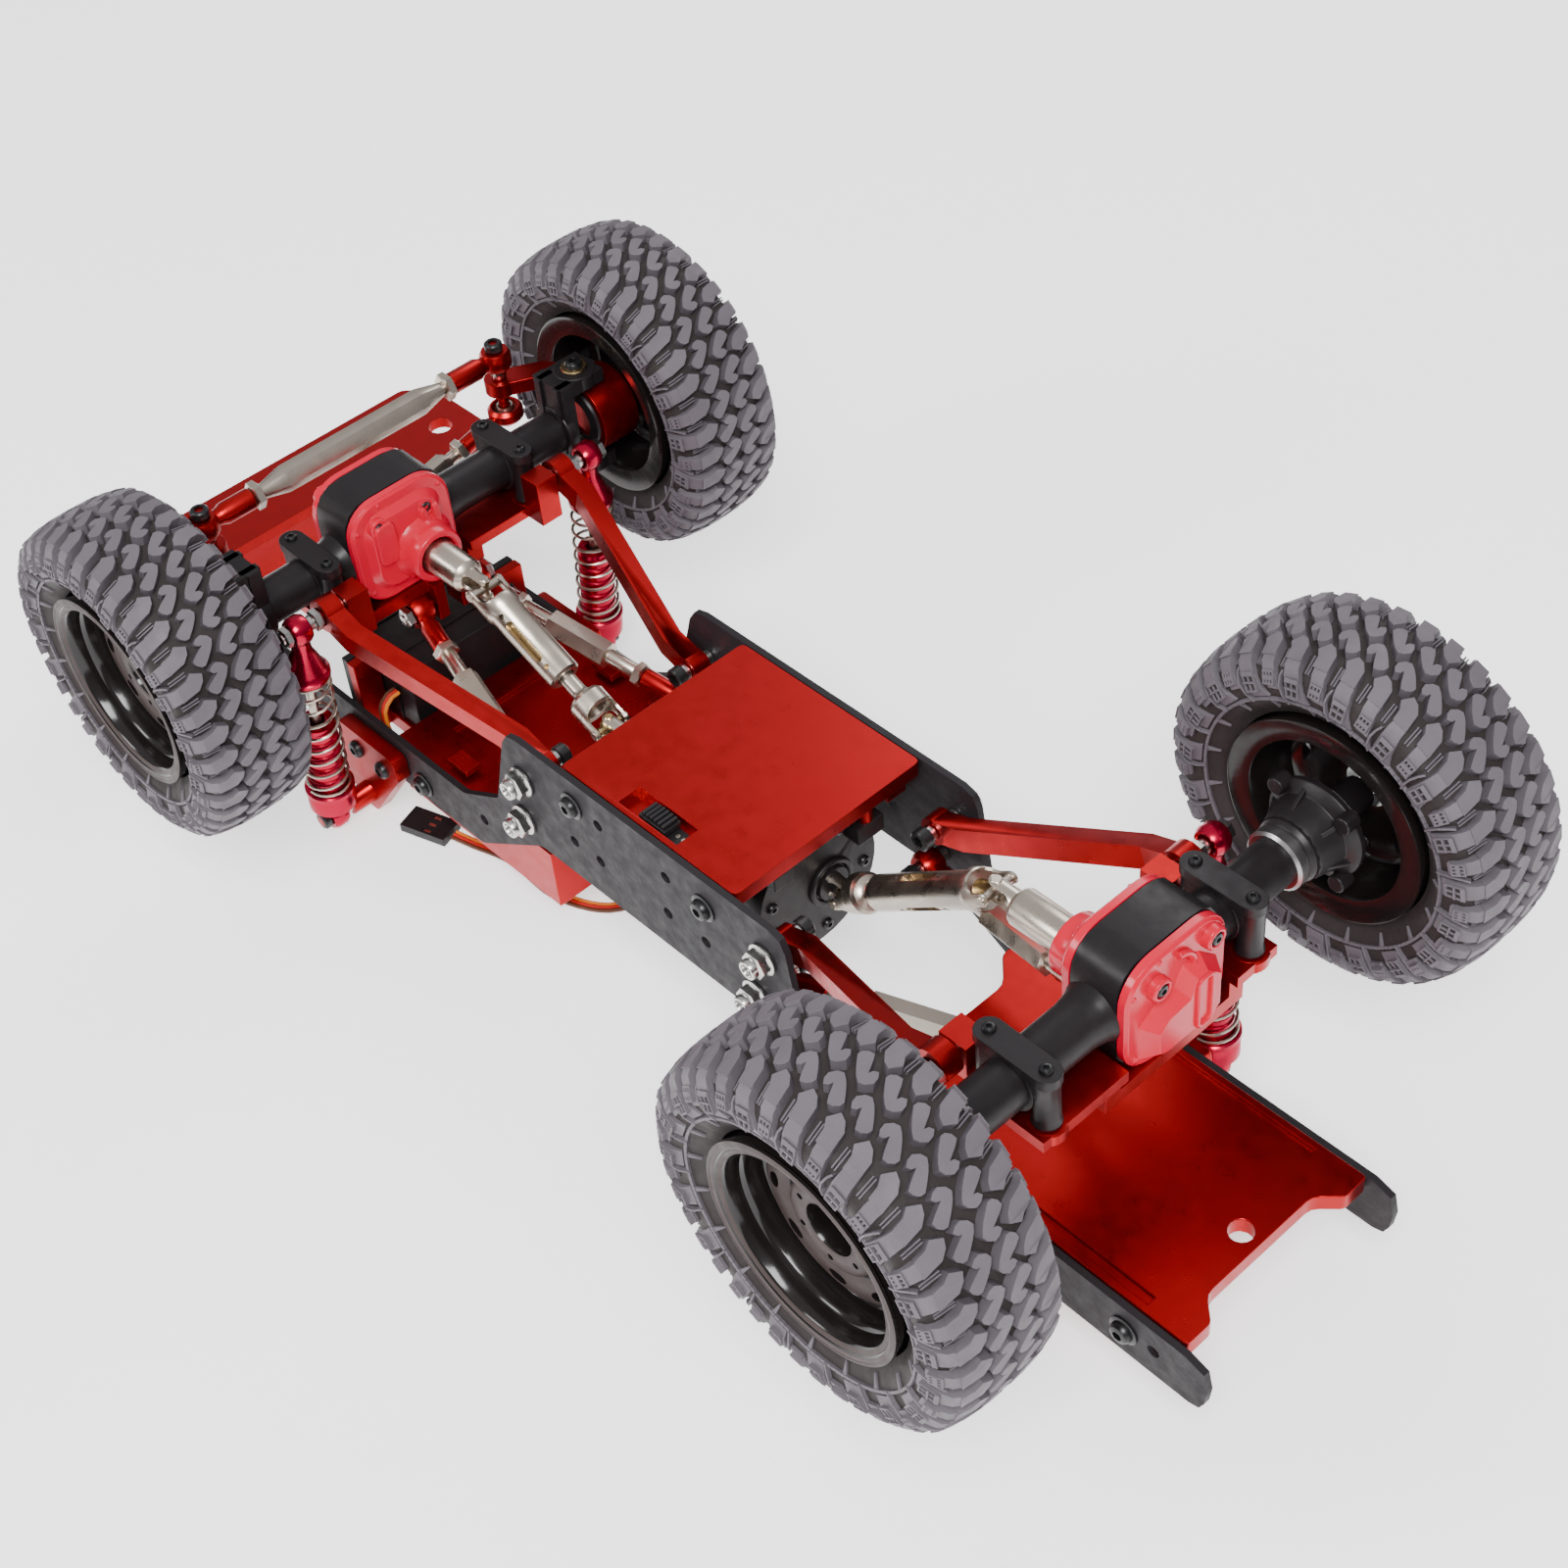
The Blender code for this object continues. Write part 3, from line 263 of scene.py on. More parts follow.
class Shape:
    """Collects the surfaces of one piece, then becomes an object that rides on a body."""

    def __init__(self):
        self.mesh = bmesh.new()
        self.paint = 0

    def face(self, corners):
        made = self.mesh.faces.new(corners)
        made.smooth = True
        made.material_index = self.paint
        return made

    def rings(self, rows, closed=False):
        """Skins a list of equal rings of points. A row of one point is a pole."""
        rows = [[self.mesh.verts.new(point) for point in row] for row in rows]
        pairs = list(zip(rows, rows[1:]))
        if closed:
            pairs.append((rows[-1], rows[0]))
        for low, high in pairs:
            count = max(len(low), len(high))
            for index in range(count):
                after = (index + 1) % count
                if len(low) == 1:
                    self.face((low[0], high[after], high[index]))
                elif len(high) == 1:
                    self.face((low[index], low[after], high[0]))
                else:
                    self.face((low[index], low[after], high[after], high[index]))
        if not closed:
            if len(rows[0]) > 1:
                self.face(rows[0][::-1])
            if len(rows[-1]) > 1:
                self.face(rows[-1])
        return self

    def turned(self, profile, start, direction, segments=24, closed=False):
        """Turns (radius, height) points about an axis; a third value makes that ring a regular polygon."""
        place = placed(start, side_of(Vector(direction).normalized()), direction)
        rows = []
        for radius, height, *sides in profile:
            if radius == 0:
                rows.append([place @ Vector((0, 0, height))])
                continue
            row = []
            for step in range(segments):
                angle = 2 * pi * step / segments
                reach = radius * (polygon_radius(sides[0], angle) if sides else 1)
                row.append(place @ Vector((reach * cos(angle), reach * sin(angle), height)))
            rows.append(row)
        return self.rings(rows, closed=closed)

    def rod(self, start, end, radius, segments=16, edge=0.0):
        """A round bar between two points, with its ends' edges broken."""
        start, end = Vector(start), Vector(end)
        length = (end - start).length
        profile = [(radius, 0), (radius, length)]
        if edge:
            profile = [(radius - edge, 0), (radius, edge), (radius, length - edge), (radius - edge, length)]
        return self.turned(profile, start, end - start, segments)

    def tube(self, points, radius, segments=8):
        """A round wire along the given points."""
        rows, across = [], None
        for index, point in enumerate(points):
            along = direction_at(points, index)
            across = side_of(along) if across is None else (across - along * across.dot(along)).normalized()
            other = along.cross(across)
            turns = [2 * pi * step / segments for step in range(segments)]
            rows.append([point + (across * cos(a) + other * sin(a)) * radius for a in turns])
        return self.rings(rows)

    def prism(self, outline, low, high, place=None, shrink=None):
        """A flat outline raised from low to high; shrink holds the outline of the top, if it differs."""
        place = place or Matrix.Identity(4)
        top = shrink or outline
        return self.rings([[place @ Vector((x, y, low)) for x, y in outline],
                           [place @ Vector((x, y, high)) for x, y in top]])

    def block(self, low, high):
        """A box between two corners."""
        floor = [(low[0], low[1]), (high[0], low[1]), (high[0], high[1]), (low[0], high[1])]
        return self.prism(floor, low[2], high[2])

    def from_object(self, source):
        """Adds another object's evaluated mesh."""
        mesh = evaluated_mesh(source)
        mesh.transform(Matrix.Scale(1 / MM, 4) @ source.matrix_world)
        before = len(self.mesh.faces)
        self.mesh.from_mesh(mesh)
        self.mesh.faces.ensure_lookup_table()
        for made in self.mesh.faces[before:]:
            made.material_index = self.paint
        bpy.data.meshes.remove(mesh)
        return self

    def object(self, name, *finishes, bevel=0.0):
        """The finished object, in metres and not yet riding on a body."""
        bmesh.ops.recalc_face_normals(self.mesh, faces=self.mesh.faces)
        bmesh.ops.scale(self.mesh, vec=(MM, MM, MM), verts=self.mesh.verts)
        data = bpy.data.meshes.new(name)
        self.mesh.to_mesh(data)
        self.mesh.free()
        made = linked(name, data)
        for item in finishes:
            data.materials.append(item)
        data.shade_smooth()
        data.set_sharp_from_angle(angle=SHARP_ANGLE)
        if bevel:
            edges = made.modifiers.new("edges", "BEVEL")
            edges.width = bevel * MM
            edges.segments = 2
            edges.limit_method = "ANGLE"
            edges.angle_limit = SHARP_ANGLE
            edges.harden_normals = True
        return made

    def piece(self, name, body, slot, *finishes, bevel=0.0, replaces=()):
        """The finished object, riding on a body and standing for the replaced nodes."""
        made = self.object(name, *finishes, bevel=bevel)
        if replaces:
            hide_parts(*replaces)
        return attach(made, body)


def softened(node, finish, slot):
    """A CAD solid with its edges broken: its facets are joined up again and bevelled."""
    shape = Shape()
    shape.mesh.from_mesh(NODES[node].data)
    bmesh.ops.remove_doubles(shape.mesh, verts=shape.mesh.verts, dist=0.002 * MM)
    bmesh.ops.dissolve_limit(shape.mesh, angle_limit=radians(0.5), verts=shape.mesh.verts,
                             edges=shape.mesh.edges)
    bmesh.ops.scale(shape.mesh, vec=(1 / MM, 1 / MM, 1 / MM), verts=shape.mesh.verts)
    for made in shape.mesh.faces:
        made.material_index = 0
    return shape.piece(node + "_body", NODES[node]["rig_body"], slot, finish, bevel=0.25, replaces=[node])


def arc(x, y, radius, start, end, steps):
    """Points on a circle from one angle to another, in degrees."""
    turns = [radians(start + (end - start) * step / steps) for step in range(steps + 1)]
    return [(x + radius * cos(a), y + radius * sin(a)) for a in turns]


def with_cuts(made, cuts):
    """Cuts a shape, whose solids stay clear of each other, out of an object."""
    cutter = cuts.object("cutter")
    change = made.modifiers.new("cut", "BOOLEAN")
    change.operation = "DIFFERENCE"
    change.solver = "EXACT"
    change.object = cutter
    mesh = evaluated_mesh(made)
    bpy.data.objects.remove(cutter)
    made.modifiers.clear()
    made.data = mesh


# ---------------------------------------------------------------- servo lead and its plug
LEAD_ANCHORS = [  # from the servo's side to the plug; the last ones lie just over the bench
    (84, 20.8, 33.5), (84, 23.4, 33.1), (84, 26.2, 29), (83, 25, 17), (80, 21, 7), (71, 12, 1.6),
    (58, 0, 0.8), (40, -9, 0.75), (20, -9, 0.75), (8, 2, 0.75), (10, 15, 0.75), (24, 22, 0.75),
    (42, 22, 0.75), (54, 25.5, 1.2), (60, 27.3, 1.7),
]
CONTACTS = (-2.54, 0, 2.54)  # across the plug
WIRE_RADIUS = 0.55
WIRE_PITCH = 1.06
PLUG_PLACE = placed((60.2, 27.5, 1.8), (17, 5.5, 0), Z)


def smooth_route(anchors, spacing):
    """Points at an even spacing on a smooth curve (Catmull-Rom) through the anchors."""
    padded = [anchors[0], *anchors, anchors[-1]]
    dense = []
    for near in zip(padded, padded[1:], padded[2:], padded[3:]):
        p, q, r, s = [Vector(anchor) for anchor in near]
        for step in range(24):
            t = step / 24
            bend = (2 * p - 5 * q + 4 * r - s) * t * t + (3 * q - p - 3 * r + s) * t ** 3
            dense.append(0.5 * (2 * q + (r - p) * t + bend))
    dense.append(Vector(anchors[-1]))
    route, walked = [dense[0]], 0.0
    for before, after in zip(dense, dense[1:]):
        walked += (after - before).length
        if walked >= spacing:
            route.append(after)
            walked = 0.0
    if (route[-1] - dense[-1]).length > spacing / 3:
        route.append(dense[-1])
    return route


def ribbon_sides(route):
    """Across the ribbon at each point: level where the ribbon runs level, and carried on where it hangs."""
    across, sides = X, []
    for index in range(len(route)):
        along = direction_at(route, index)
        level = along.cross(Z)
        if level.length > 0.5:
            level = level.normalized()
            across = level if level.dot(across) > 0 else -level
        else:
            across = (across - along * across.dot(along)).normalized()
        sides.append(across)
    for _ in range(3):
        sides = [(sides[max(i - 1, 0)] + side * 2 + sides[min(i + 1, len(sides) - 1)]).normalized()
                 for i, side in enumerate(sides)]
    return sides


def make_plug():
    """The three-way servo plug: a black housing with square mouths and windows over its contacts."""
    housing = Shape()
    housing.block((0.3, -3.8, -1.3), (14.3, 3.8, 1.3))
    blank = housing.object("plug_blank", PLASTIC)
    cuts = Shape()
    for y in CONTACTS:
        cuts.block((9, y - 0.85, -0.75), (15, y + 0.85, 0.85))
        cuts.block((4.6, y - 0.6, 0.85), (7.6, y + 0.6, 2))
    with_cuts(blank, cuts)
    plug = Shape().from_object(blank)
    bpy.data.objects.remove(blank)
    plug.paint = 1
    for y in CONTACTS:
        plug.block((5.2, y - 0.5, 0.7), (7.4, y + 0.5, 1.02))
    for vert in plug.mesh.verts:
        vert.co = PLUG_PLACE @ vert.co
    return plug.piece("servo_plug_housing", "chassis", "black_plastic", PLASTIC, NICKEL, bevel=0.2,
                      replaces=["servo_plug"])


def make_lead():
    """The servo's three-wire ribbon: orange, red and brown side by side."""
    route = smooth_route(LEAD_ANCHORS, 2.2)
    sides = ribbon_sides(route)
    lead = Shape()
    for index, shift in enumerate((-1, 0, 1)):
        lead.paint = index
        lead.tube([point + side * WIRE_PITCH * shift for point, side in zip(route, sides)], WIRE_RADIUS, 8)
    cord = lead.piece("servo_lead_ribbon", "chassis", "lead_pvc", *WIRES, replaces=["servo_lead"])
    make_plug()


make_lead()


# ---------------------------------------------------------------- wheels
PITCHES = 38  # tread blocks round a tyre
TREAD_RADIUS = 42.3  # about the tyre's radius over its blocks; turns a length along the tread into an angle
TREAD_HEIGHT = 2.55
SUNK = 0.4  # how deep a block's foot is set into the carcass
SECTION = [  # half of the tyre's section without its tread: (across, radius), from the crown to the bead
    (0, 39.9), (5, 39.8), (9, 39.4), (11.4, 38.8), (13.0, 37.8), (13.9, 36.4), (14.3, 34.6), (14.1, 32.4),
    (13.4, 30.2), (12.2, 28.2), (11.0, 26.6), (10.4, 25.5),
]


def section_at(travel):
    """The point and outward direction of the tyre's section, at a distance along it from the crown."""
    side = 1 if travel >= 0 else -1
    left = abs(travel)
    for (a1, r1), (a2, r2) in zip(SECTION, SECTION[1:]):
        step = dist((a1, r1), (a2, r2))
        if left <= step or (a2, r2) == SECTION[-1]:
            share = left / step
            normal = Vector((r1 - r2, a2 - a1)).normalized()
            return side * (a1 + (a2 - a1) * share), r1 + (r2 - r1) * share, side * normal.x, normal.y
        left -= step


def on_tyre(turn, travel, height):
    """A point over the tyre's surface, at a turn about local Z and a travel from the crown."""
    across, radius, out_across, out_radius = section_at(travel)
    radius += height * out_radius
    return Vector((radius * cos(turn), radius * sin(turn), across + height * out_across))


def raised(shape, outline, height, taper=0.95):
    """A tread block: an outline of (turn, travel) points, raised over the tyre's surface."""
    middle_turn = sum(turn for turn, _ in outline) / len(outline)
    middle_travel = sum(travel for _, travel in outline) / len(outline)
    top = [(middle_turn + (turn - middle_turn) * taper, middle_travel + (travel - middle_travel) * taper)
           for turn, travel in outline]
    shape.rings([[on_tyre(turn, travel, -SUNK) for turn, travel in outline],
                 [on_tyre(turn, travel, height) for turn, travel in top]])


def strip_block(shape, rows):
    """A long lug over the shoulder: rows of (travel, left turn, right turn, height)."""
    rings = []
    for travel, left, right, height in rows:
        rings.append([on_tyre(left, travel, -SUNK), on_tyre(right, travel, -SUNK),
                      on_tyre(right - 0.004, travel, height), on_tyre(left + 0.004, travel, height)])
    shape.rings(rings)


HOOK = [  # one hooked centre block, lying aslant: (along the tyre, across it)
    (-4.0, -1.5), (-3.0, -3.0), (-1.7, -3.6), (-0.4, -2.8), (0.6, -1.9), (1.9, -0.5), (3.3, 1.2), (3.2, 2.1),
    (2.2, 3.1), (0.9, 3.4), (0.0, 2.1), (-1.5, -0.5), (-1.8, 0.5), (-2.8, 1.1), (-3.7, 0.0),
]
ROW_ACROSS = 3.3  # from the crown to the middle of a row of centre blocks
LUG = [  # one shoulder block's outline on the crown
    (-4.5, 8.3), (-3.1, 5.7), (-1.3, 6.4), (0.3, 8.2), (1.3, 11.7), (-2.6, 11.7), (-3.2, 9.7),
]
FRAME_BAR = 0.5  # the width of a bar of a window frame on a lug's face
# One of two thin ribs between shoulder blocks
EJECTOR = [(-5.2, 8.9), (-4.8, 8.8), (-4.1, 13.2), (-4.5, 13.3)]
LONG_FACE = [  # a long lug's face down the sidewall: (travel from the crown, start and end along, height)
    (11.4, -2.6, 1.2, 2.3), (13.0, -2.6, 1.5, 1.95), (14.2, -2.6, 2.0, 1.4), (17.6, -2.5, 3.2, 0.9),
    (19.9, -2.3, 4.4, 0.5),
]
SHORT_FACE = [
    (11.4, 4.5, 8.2, 2.3), (13.0, 4.7, 8.4, 1.95), (14.2, 5.0, 8.8, 1.4), (17.4, 5.6, 9.6, 0.85),
]


def tyre_shape():
    """A mud-terrain tyre about local Z: carcass, hooked blocks, shoulder lugs and sidewall relief."""
    shape = Shape()
    half = [(radius, across) for across, radius in SECTION]
    inner = [(25.4, 9), (25.4, -9)]
    profile = [(radius, -across) for radius, across in half[::-1]] + half[1:] + inner
    shape.turned(profile, Vector(), Z, 152, closed=True)
    # The raised relief below takes the lighter, painted-lit rubber, and the carcass keeps the darker,
    # painted-shade copy.
    shape.paint = 1
    pitch = 2 * pi / PITCHES
    for index in range(PITCHES):
        for side in (1, -1):
            spot = spot_finder(index * pitch, side)
            raised(shape, [spot(along * 0.95, ROW_ACROSS + across * 0.95) for along, across in HOOK],
                   TREAD_HEIGHT)
            raised(shape, [spot(along, across) for along, across in LUG], TREAD_HEIGHT - 0.05)
            for shift in (0, 0.75):
                raised(shape, [spot(along + shift, across) for along, across in EJECTOR], 0.9)
            if index % 2 == 0:
                sidewall(shape, spot)
    return shape


def spot_finder(turn, side):
    """Turns (along, across) into (turn, travel); the tread's far half is its near half turned round."""
    def spot(along, across):
        return turn - side * along / TREAD_RADIUS, side * across
    return spot


def bar(shape, spot, low, high, height):
    """A small raised bar between two corners."""
    corners = [low, (high[0], low[1]), high, (low[0], high[1])]
    raised(shape, [spot(*corner) for corner in corners], height)


def sidewall(shape, spot):
    """A long and a short lug's faces with their raised windows, and the ridge below them."""
    for face in (LONG_FACE, SHORT_FACE):
        rows = []
        for travel, start, end, height in face:
            low, high = sorted((spot(start, travel), spot(end, travel)))
            rows.append((low[1], low[0], high[0], height))
        strip_block(shape, rows)
    # Each face carries a window frame; the panes between its bars are painted shade: low bars in the darker
    # rubber stand for the shade in the window recesses.
    for left, right, low, high, panes in ((-1.9, 2.1, 14.6, 18.3, 2), (5.3, 8.7, 13.9, 16.6, 3)):
        # The pane: a low bar in the darker rubber, painted shade under the frame's bars
        shape.paint = 0
        bar(shape, spot, (left, low), (right, high), 1.35)
        shape.paint = 1
        step = (right - left - FRAME_BAR) / panes
        for index in range(panes + 1):
            bar(shape, spot, (left + index * step, low), (left + index * step + FRAME_BAR, high), 1.75)
        for travel in (low, (low + high - FRAME_BAR) / 2, high - FRAME_BAR):
            bar(shape, spot, (left, travel), (right, travel + FRAME_BAR), 1.7)
    # The ridge: a ring segment under both lugs, which turns up between them, and a tick towards the rim
    for along in range(-3, 11, 2):
        bar(shape, spot, (along, 20.4), (along + 2.0, 21.1), 0.75)
    bend = [(-3.3, 21.0), (-4.2, 18.8), (-4.5, 16.6), (-4.1, 14.8), (-3.5, 13.4)]
    for (along, travel), (next_along, next_travel) in zip(bend, bend[1:]):
        corners = [(along, travel), (along + 0.6, travel),
                   (next_along + 0.6, next_travel), (next_along, next_travel)]
        raised(shape, [spot(*corner) for corner in corners], 1.1, taper=1.0)
    raised(shape, [spot(*corner) for corner in ((2.8, 20.8), (4.5, 20.8), (3.8, 24.0), (3.5, 24.0))], 0.6)


VENTS, VENT_CIRCLE, VENT_HALF_HEIGHT, VENT_SWING = 8, 15.9, 1.0, 0.15
RIM_HOLES, HOLE_CIRCLE, HOLE_RADIUS = 6, 8.2, 0.75


def cut_rim():
    """A pressed wheel about local Z, its outer face towards +Z: lip, barrel, vented dish and hub."""
    profile = [
        (24.9, 12.6), (25.4, 13.1), (25.3, 13.7), (24.6, 13.9), (24.3, 13.7), (24.0, 13.8), (23.4, 13.6),
        (23.1, 13.3), (22.8, 13.4), (21.9, 12.9), (21.5, 12.3), (21.3, 9.0), (20.8, 8.6), (20.5, 8.0),
        (20.3, 4.0), (19.6, 3.2), (18.9, 3.5), (18.3, 4.8), (17.4, 5.3), (14.4, 5.0), (12.8, 4.0),
        (11.8, 4.1), (10.8, 5.8), (9.6, 6.4), (6.6, 6.4), (6.0, 6.1), (5.6, 5.2), (5.5, 2.4), (7.4, 2.2),
        (11.5, 2.4), (17.0, 1.7), (18.6, 0.2), (19.2, -4.0), (19.6, -12.2), (19.9, -12.6), (24.9, -13.3),
        (25.3, -13.2), (25.4, -12.8), (25.0, -12.4), (24.9, -8.0), (23.6, -6.0), (23.6, 6.0), (24.9, 8.0),
    ]
    shape = Shape()
    shape.turned(profile[::-1], Vector(), Z, 96, closed=True)
    rim = shape.object("rim_blank", GLOSS, LIP)
    for face in rim.data.polygons:
        face.material_index = 1 if face.normal.z > 0.8 and face.center.z > 4.5 * MM else 0
    cuts = Shape()
    for index in range(VENTS):
        turn = 2 * pi * index / VENTS
        outline = []
        for step in range(20):
            a = 2 * pi * step / 20
            radius = VENT_CIRCLE + VENT_HALF_HEIGHT * sin(a)
            angle = turn + VENT_SWING * cos(a)
            outline.append((radius * cos(angle), radius * sin(angle)))
        cuts.prism(outline, -2, 9)
    for index in range(RIM_HOLES):
        turn = 2 * pi * (index + 0.5) / RIM_HOLES
        x, y = HOLE_CIRCLE * cos(turn), HOLE_CIRCLE * sin(turn)
        cuts.rod((x, y, 0), (x, y, 9), HOLE_RADIUS, 12)
    with_cuts(rim, cuts)
    return rim


def make_wheels():
    # Painted shade on the carcass and painted light on the relief, as two copies of one rubber.
    tyre = tyre_shape().object("tyre_blank", SHADED_RUBBER, LIT_TREAD, bevel=0.12)
    tyre_mesh = evaluated_mesh(tyre)
    rim = cut_rim()
    rim_mesh = rim.data
    rim_mesh.shade_smooth()
    rim_mesh.set_sharp_from_angle(angle=radians(38))
    bpy.data.objects.remove(tyre)
    bpy.data.objects.remove(rim)
    for end in ENDS:
        for side, sign in SIDES.items():
            tag = "%s_%s" % (end, side)
            place = placed(middle("tyre_" + tag) * MM, X, Y * sign)
            for kind, mesh, slot in (("tyre", tyre_mesh, "tyre_rubber"), ("rim", rim_mesh, "rim_black")):
                made = linked("%s_%s_shell" % (kind, tag), mesh)
                made.matrix_world = place
                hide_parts("%s_%s" % (kind, tag))
                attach(made, "wheel_" + tag)


make_wheels()

# ---------------------------------------------------------------- places shared by the details
# Bolts that no joint of the frame names, as (x, z)
AXLE_BOLT = {"front": (78, 74), "rear": (-130.5, 77.5)}
UPPER_AXLE_BOLT = {"front": (84, 53), "rear": (-137.5, 57)}
SHAFT_TIP = {"front": (57, 73), "rear": (-108, 79)}
SLEEVE_LENGTH = {"front": 31, "rear": 46}
UPPER_AXLE_Y = 9
WHEEL = {end: middle("rim_%s_right" % end) for end in ENDS}
CASE_Y = {end: middle(end + "_back_cover").y for end in ENDS}
CASE_Z = {end: middle(end + "_back_cover").z for end in ENDS}
SHAFT_Y = {end: middle(end + "_shaft_sleeve").y for end in ENDS}


# ---------------------------------------------------------------- fasteners
FASTENERS = {}
FASTENER_LOOKS = {"nuts": (ZINC, "nickel"), "screws": (SCREW, "axle_black"), "washers": (BRASS, "nickel")}


def fasteners(body, kind):
    """The shape that gathers all the nuts, screws or brass washers of one body."""
    return FASTENERS.setdefault((body, kind), Shape())


def button_screw(body, at, out, size=2.75, washer=True):
    """A black M3 button head with a hexagon socket, on a black washer."""
    shape, base = fasteners(body, "screws"), 0.0
    if washer:
        base = 0.6
        shape.turned([(1.2, 0), (3.3, 0), (3.6, 0.2), (3.6, 0.45), (3.3, 0.6), (1.2, 0.6)], at, out, 24,
                     closed=True)
    tall = size * 0.62
    shape.turned([
        (0, base + tall * 0.35), (size * 0.4, base + tall * 0.35, 6), (size * 0.4, base + tall, 6),
        (size * 0.55, base + tall), (size * 0.8, base + tall * 0.86), (size * 0.96, base + tall * 0.5),
        (size, base + tall * 0.2), (size, base), (0, base),
    ], at, out, 24)


def cap_screw(body, at, out, size=2.7, tall=2.8):
    """A black socket cap head, upright sides and a hexagon socket."""
    fasteners(body, "screws").turned([
        (0, tall * 0.4), (size * 0.48, tall * 0.4, 6), (size * 0.48, tall, 6), (size * 0.84, tall),
        (size, tall - 0.35), (size, 0.2), (size - 0.2, 0), (0, 0),
    ], at, out, 24)


def flanged_nut(body, at, out):
    """A silver M3 locking nut with a flange, and the bolt's end in it."""
    shape = fasteners(body, "nuts")
    shape.turned([
        (0, 0), (3.8, 0), (4.1, 0.3), (4.1, 0.8), (3.4, 1.2), (3.15, 1.3, 6), (3.15, 3.2, 6), (2.7, 3.5),
        (2.5, 3.7), (2.5, 4.9), (2.3, 5.2), (1.7, 5.2), (1.5, 4.6), (1.45, 4.1), (0, 4.1),
    ], at, out, 24)


def plain_nut(body, at, out, across=2.5, tall=2.2, bolt=0.9):
    """A silver hexagon nut; the bolt's end stands out of it by the last size."""
    fasteners(body, "nuts").turned([
        (0, 0), (across - 0.2, 0), (across, 0.25, 6), (across, tall - 0.25, 6), (across - 0.25, tall),
        (1.45, tall), (1.4, tall + bolt * 0.8), (1.1, tall + bolt), (0, tall + bolt),
    ], at, out, 24)


def spacer(body, start, end, radius=2.2):
    """A silver collar on a bolt."""
    fasteners(body, "nuts").rod(start, end, radius, 20, edge=0.25)


def at_y(point, y):
    """A bolt's (x, z) at the given height along Y."""
    return Vector((point[0], y, point[1]))


def eye_ring(shape, centre, axis, bore, radius, half_width):
    """A rod end's rounded eye, open in the middle."""
    shape.turned([
        (bore, -half_width * 0.9), (bore + 0.3, -half_width), (radius * 0.84, -half_width),
        (radius, -half_width * 0.55), (radius, half_width * 0.55), (radius * 0.84, half_width),
        (bore + 0.3, half_width), (bore, half_width * 0.9),
    ], centre, axis, 28, closed=True)


def pose_fasteners():
    for (body, kind), shape in FASTENERS.items():
        finish, slot = FASTENER_LOOKS[kind]
        shape.piece("%s_%s" % (body, kind), body, slot, finish)


# ---------------------------------------------------------------- rails and plates
RAIL_SCREWS = [(-4.8, 58.8), (-50.6, 57.9), (63.3, 20.2), (-174.3, 22.8)]  # (x, z) on each rail's outer face


def dress_rails():
    """Flanged nuts on the link bolts and button screws along both rails."""
    for side, sign in SIDES.items():
        out = Y * sign
        face = RAIL_FACE_Y * sign
        for end in ENDS:
            for kind in ("lower", "upper"):
                bolt = joint_place("%s_link_%s_%s_pivot" % (kind, end, side))
                flanged_nut("chassis", (bolt.x, face, bolt.z), out)
                inner = bolt.y - 2.6 * sign
                head = inner - 1.6 * sign
                spacer("chassis", (bolt.x, inner, bolt.z), (bolt.x, head, bolt.z))
                cap_screw("chassis", (bolt.x, head, bolt.z), -out)
                spacer("chassis", (bolt.x, RAIL_INNER_Y * sign, bolt.z),
                       (bolt.x, bolt.y + 2.7 * sign, bolt.z))
        for x, z in RAIL_SCREWS:
            button_screw("chassis", (x, face, z), out)
        for end, facing in ENDS.items():
            tower = box("shock_tower_%s_%s" % (end, side))
            face_y = sign * (RAIL_FACE_Y + 4.3)
            base_x = (tower[0].x + tower[1].x) / 2
            for shift, drop in ((-6.5, 6.5), (4.5, 6.0)):
                spot = Vector((base_x + facing * shift, face_y, tower[1].z - drop))
                button_screw("chassis", spot, out, size=2.5, washer=False)


def dress_plates():
    """The switch's ribbed slider and its bed, and the small pads in the front tray."""
    low, high = box("switch_slider")
    slider = Shape()
    slider.block((low.x, low.y, low.z + 0.4), (high.x, high.y, high.z - 1.4))
    ribs = 6
    pitch = (high.x - low.x - 1) / ribs
    for index in range(ribs):
        x = low.x + 0.5 + pitch * index
        top = high.z - abs(index - (ribs - 1) / 2) * 0.12
        slider.prism([(x, low.y + 0.3), (x + pitch * 0.72, low.y + 0.3),
                      (x + pitch * 0.72, high.y - 0.3), (x, high.y - 0.3)],
                     high.z - 1.5, top)
    slider.piece("switch_slider_cap", "power_switch", "black_plastic", PLASTIC, bevel=0.2,
                 replaces=["switch_slider"])
    pocket = Shape()
    pocket.block((-38.7, 21.6, BELLY_Z - 2.46), (-27, 25.8, BELLY_Z - 2.38))
    pocket.paint = 1
    for x in (-37.4, -35.4):
        pocket.rod((x, 23.7, BELLY_Z - 2.3), (x, 23.7, BELLY_Z - 2.1), 0.6, 10)
    pocket.piece("switch_bed", "chassis", "black_plastic", PLASTIC, NICKEL)
    pads = Shape()
    tray = box("front_tray")
    floor_z = BELLY_Z - 36.4
    for sign in SIDES.values():
        for x in (30, 52):
            y = sign * (tray[1].y - 4.5)
            pads.block((x - 4, y - 2.5, floor_z - 1), (x + 4, y + 2.5, floor_z + 0.9))
    pads.piece("tray_pads", "chassis", "red_anodised", RED, bevel=0.4)


FLANGE_X, FLANGE_Z = -54, BELLY_Z - 23  # the face and the centre of the gearbox's round flange
FLANGE_SCREWS = 10
SCREW_CIRCLE = 14.5


